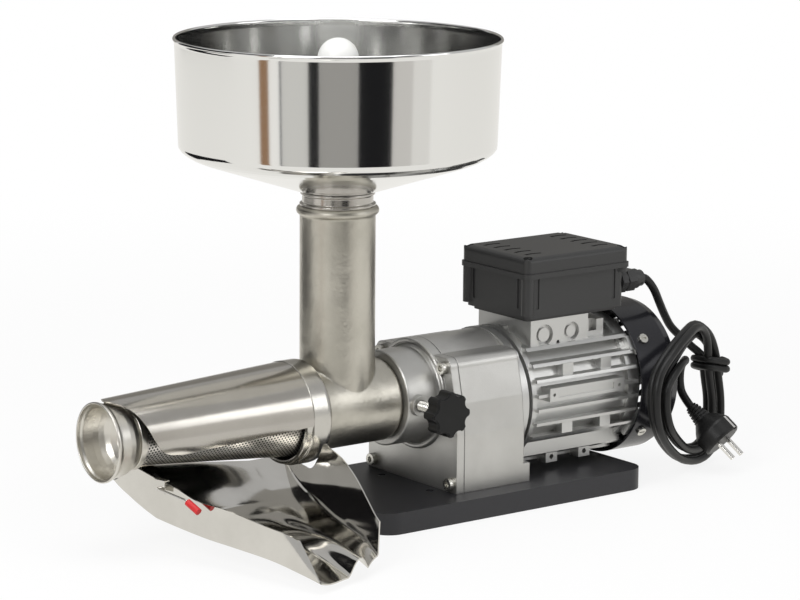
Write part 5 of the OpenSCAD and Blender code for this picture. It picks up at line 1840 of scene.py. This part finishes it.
@dataclass
class Clamp(SubAssembly):
    """The lobed knob and the threaded stud that hold the head in the gearbox.

    Lengths are in millimetres, and distances are from the screw axis.

    Attributes:
        stud_x: The stud's station.
        stud_r: Its radius.
        tip_r: The radius of its plain ends.
        pitch: The thread's pitch.
        depth: How deep the thread is.
        start: The distance where the thread begins.
        end: The distance where it ends.
        tips: How far the plain ends go on inwards and outwards.
        around: Points round the stud.
        rows: Rows of points on each turn of the thread.
    """

    looks = ((KNOB_PLASTIC, 28.0, ("clamp_knob",)),)

    stud_x: float = -79.0
    stud_r: float = 5.0
    tip_r: float = 3.0
    pitch: float = 1.5
    depth: float = 0.75
    start: float = 32.5
    end: float = 72.0
    tips: Pair = (2.6, 12.0)
    around: int = 40
    rows: int = 8

    def ring(self, out: float, plain: bool = False) -> list[Point]:
        """The stud's points at one distance.

        Args:
            out: The distance.
            plain: Whether the stud is plain there.

        Returns:
            The points, once round.
        """
        made: list[Point] = []
        for i in range(self.around):
            turn = i / self.around
            phase = (out / self.pitch - turn) % 1.0
            r = self.tip_r if plain else self.stud_r - self.depth * (1 - abs(2 * phase - 1))
            a = 2 * math.pi * turn
            made.append((self.stud_x + r * math.cos(a), -out, LINES.axis_height + r * math.sin(a)))
        return made

    def build(self, dress: Dresser) -> None:
        """Makes the stud with its thread cut all the way, and dresses the knob.

        Args:
            dress: What dresses them.
        """
        rows = round((self.end - self.start) / self.pitch * self.rows)
        points = self.ring(self.start - self.tips[0], plain=True)
        for j in range(rows + 1):
            points += self.ring(self.start + (self.end - self.start) * j / rows)
        points += self.ring(self.end + self.tips[1], plain=True)
        made = object_from("stud_thread", points, band_faces(rows + 3, self.around), 60.0)
        dress.piece(made, ZINC, "clamp_carriage", "clamp_stud")
        super().build(dress)


@dataclass(frozen=True)
class Lamp:
    """A soft lamp: its name, place and target in metres, width and height, and power in watts."""

    name: str
    at: Point
    target: Point
    size: Pair
    power: float

    def build(self) -> None:
        """Makes the lamp."""
        data = bpy.data.lights.new(self.name, "AREA")
        data.shape, data.size, data.size_y = "RECTANGLE", *self.size
        data.energy = self.power
        made = link(self.name, data)
        made.location = self.at
        made.rotation_mode = "QUATERNION"
        made.rotation_quaternion = (Vector(self.target) - Vector(self.at)).to_track_quat("-Z", "Y")


DARK: Colour = (0.012, 0.012, 0.013)


@dataclass(frozen=True)
class Card:
    """An upright card that only mirrors show.

    Attributes:
        name: Its name.
        angle: Its direction from the neck, in degrees from the camera's side towards the right.
        width: Its width in degrees.
        colour: Its colour.
        low: The height of its lower edge, in metres.
        high: The height of its upper edge.
        away: Its distance from the neck.
    """

    name: str
    angle: float
    width: float
    colour: Colour = DARK
    low: float = 0.0
    high: float = 0.42
    away: float = 0.95

    def build(self, camera_at: Point, steps: int = 8) -> None:
        """Makes the card.

        Args:
            camera_at: Where the camera is.
            steps: Flat pieces that its curve is made of.
        """
        middle = Vector((LINES.neck_x * MM, 0.0))
        towards = (Vector(camera_at[:2]) - middle).normalized()
        right = Vector((-towards.y, towards.x))
        edges: list[Vector] = []
        for step in range(steps + 1):
            a = math.radians(self.angle - self.width / 2 + self.width * step / steps)
            edges.append(middle + self.away * (towards * math.cos(a) + right * math.sin(a)))
        points = [(e.x / MM, e.y / MM, h / MM) for h in (self.low, self.high) for e in edges]
        faces = [(k, k + 1, k + steps + 2, k + steps + 1) for k in range(steps)]
        made = object_from(self.name, points, faces)
        board = bpy.data.materials.new(self.name)
        board.use_nodes = True
        graph = Graph(board.node_tree)
        graph.node("ShaderNodeOutputMaterial", None, {"Surface": graph.glow(self.colour)})
        made.data.materials.append(board)
        made.visible_camera = made.visible_diffuse = made.visible_shadow = False
        made.visible_transmission = False


@dataclass
class Studio:
    """The pale floor, the soft lamps, what the steel mirrors, and the camera.

    Attributes:
        camera_at: Where the camera is, in metres.
        yaw: How far it is turned to the right, in degrees.
        pitch: How far it looks down.
        roll: How far it is tilted.
        lens: Its focal length in millimetres.
        sensor: Its sensor's width.
        room: How bright the surroundings are, in light and in mirrors.
        floor_colour: What mirrors show of the floor.
        floor_half: Half the floor's width, in millimetres.
        floor_down: How far the floor lies below the base plate, in metres.
        fade: Between which distances, in metres, the shadow fades out.
        clean: How white the floor is to the viewer, near and far.
        mirrored_share: How much mirrors show the floor's colour in place of its light.
        lamps: The lamps.
        cards: What the steel mirrors.
    """

    camera_at: Point = (-1.7935, -2.2795, 0.7449)
    yaw: float = 37.13
    pitch: float = 11.13
    roll: float = 0.4
    lens: float = 150.68
    sensor: float = 36.0
    room: Pair = (0.42, 0.62)
    floor_colour: Colour = (0.93, 0.915, 0.875)
    floor_half: float = 9000.0
    floor_down: float = 0.0004
    fade: Pair = (0.35, 1.7)
    clean: Pair = (0.86, 1.0)
    mirrored_share: float = 0.9
    lamps: tuple[Lamp, ...] = (
        Lamp("top_lamp", (-0.2, -0.3, 2.3), (0.0, 0.0, 0.1), (1.8, 1.4), 24.0),
        Lamp("left_lamp", (-2.2, -0.9, 1.5), (-0.1, 0.0, 0.15), (1.2, 1.2), 31.0),
        Lamp("right_lamp", (1.4, -2.2, 1.2), (0.1, 0.0, 0.15), (1.0, 1.2), 8.0),
    )
    cards: tuple[Card, ...] = (
        Card("card_wide", 24.4, 23.0),
        Card("card_narrow", -15.7, 7.2),
        Card("card_between", 0.4, 24.6, (0.36, 0.35, 0.33), away=0.96),
        Card("card_beside", -28.5, 18.2, (0.66, 0.65, 0.62), away=0.96),
        Card("card_brown", -49.6, 6.7, (0.30, 0.17, 0.09)),
        Card("card_thread", -38.0, 1.4, (0.10, 0.10, 0.11)),
        Card("card_room", -20.0, 150.0, (0.03, 0.03, 0.032), 1.1, 3.4, 3.6),
        Card("card_warm", 43.0, 14.2, (0.64, 0.62, 0.59), away=0.96),
        Card("card_soft", 57.0, 13.8, (0.80, 0.785, 0.75), away=0.96),
        Card("card_left_low", -108.0, 56.0, DARK, 0.02, 0.19, 0.56),
        Card("card_left", -106.0, 64.0, DARK, 0.25, 1.1, 1.25),
        Card("card_back", 176.0, 76.0, (0.30, 0.29, 0.27), 0.24, 1.2, 1.6),
    )

    def camera(self) -> None:
        """Makes the camera at the photograph's angle."""
        data = bpy.data.cameras.new("camera")
        data.lens, data.sensor_width = self.lens, self.sensor
        data.clip_start, data.clip_end = 0.05, 60.0
        made = link("camera", data)
        yaw, pitch, roll = (math.radians(a) for a in (self.yaw, self.pitch, self.roll))
        ahead = math.cos(pitch)
        forward = Vector((math.sin(yaw) * ahead, math.cos(yaw) * ahead, -math.sin(pitch)))
        level = forward.cross(Vector((0, 0, 1))).normalized()
        upright = level.cross(forward)
        right = level * math.cos(roll) + upright * math.sin(roll)
        up = upright * math.cos(roll) - level * math.sin(roll)
        turn = Matrix((right, up, -forward)).transposed().to_4x4()
        made.matrix_world = Matrix.Translation(Vector(self.camera_at)) @ turn
        bpy.context.scene.camera = made

    def world(self) -> None:
        """Makes the even pale surroundings, white to the viewer."""
        world = bpy.data.worlds.new("studio")
        bpy.context.scene.world = world
        world.use_nodes = True
        graph = Graph(world.node_tree)
        seen, mirrored = graph.onlookers()
        lit, shown = self.room
        room = graph.either(mirrored, graph.background(1.0, lit), graph.background(0.9, shown))
        mixed = graph.either(seen, room, graph.background(1.0, 1.0))
        graph.node("ShaderNodeOutputWorld", None, {"Surface": mixed})

    def floor(self) -> None:
        """Makes the white floor, which keeps the shadow."""
        h = self.floor_half
        made = object_from("floor", [(-h, -h, 0), (h, -h, 0), (h, h, 0), (-h, h, 0)], [(0, 1, 2, 3)])
        made.location.z = -self.floor_down
        paper = bpy.data.materials.new("floor_paper")
        paper.use_nodes = True
        graph = Graph(paper.node_tree)
        seen, mirrored = graph.onlookers()
        x, y, _ = graph.axes(graph.place())
        share = ((x * x + y * y) ** 0.5).ramp(*self.fade, *self.clean)
        lit = graph.node("ShaderNodeBsdfDiffuse", None, {"Color": (0.90, 0.90, 0.90)}).outputs[0]
        plain = graph.either(seen * share, lit, graph.glow((1.0, 1.0, 1.0)))
        mixed = graph.either(mirrored * self.mirrored_share, plain, graph.glow(self.floor_colour))
        graph.node("ShaderNodeOutputMaterial", None, {"Surface": mixed})
        made.data.materials.append(paper)

    def build(self) -> None:
        """Makes the camera, the surroundings, the lamps and the cards."""
        bpy.context.scene.view_settings.view_transform = "Standard"
        self.camera()
        self.world()
        self.floor()
        for lamp in self.lamps:
            lamp.build()
        for card in self.cards:
            card.build(self.camera_at)


def main() -> None:
    """Builds every sub-assembly and reports it."""
    logging.basicConfig(level=logging.INFO, format="%(message)s")
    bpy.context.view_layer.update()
    dress = Dresser()
    Studio().build()
    for kind in (
        MainsLead, Stand, Gearbox, Motor, TerminalBox, PressHead, StrainerSet, HopperSet, JuiceTray, Clamp,
    ):
        LOG.info("sub-assembly %s", kind.__name__)
        kind().build(dress)
    for name in dress.rest():
        LOG.warning("node %s has no finish", name)


if __name__ == "__main__":
    main()
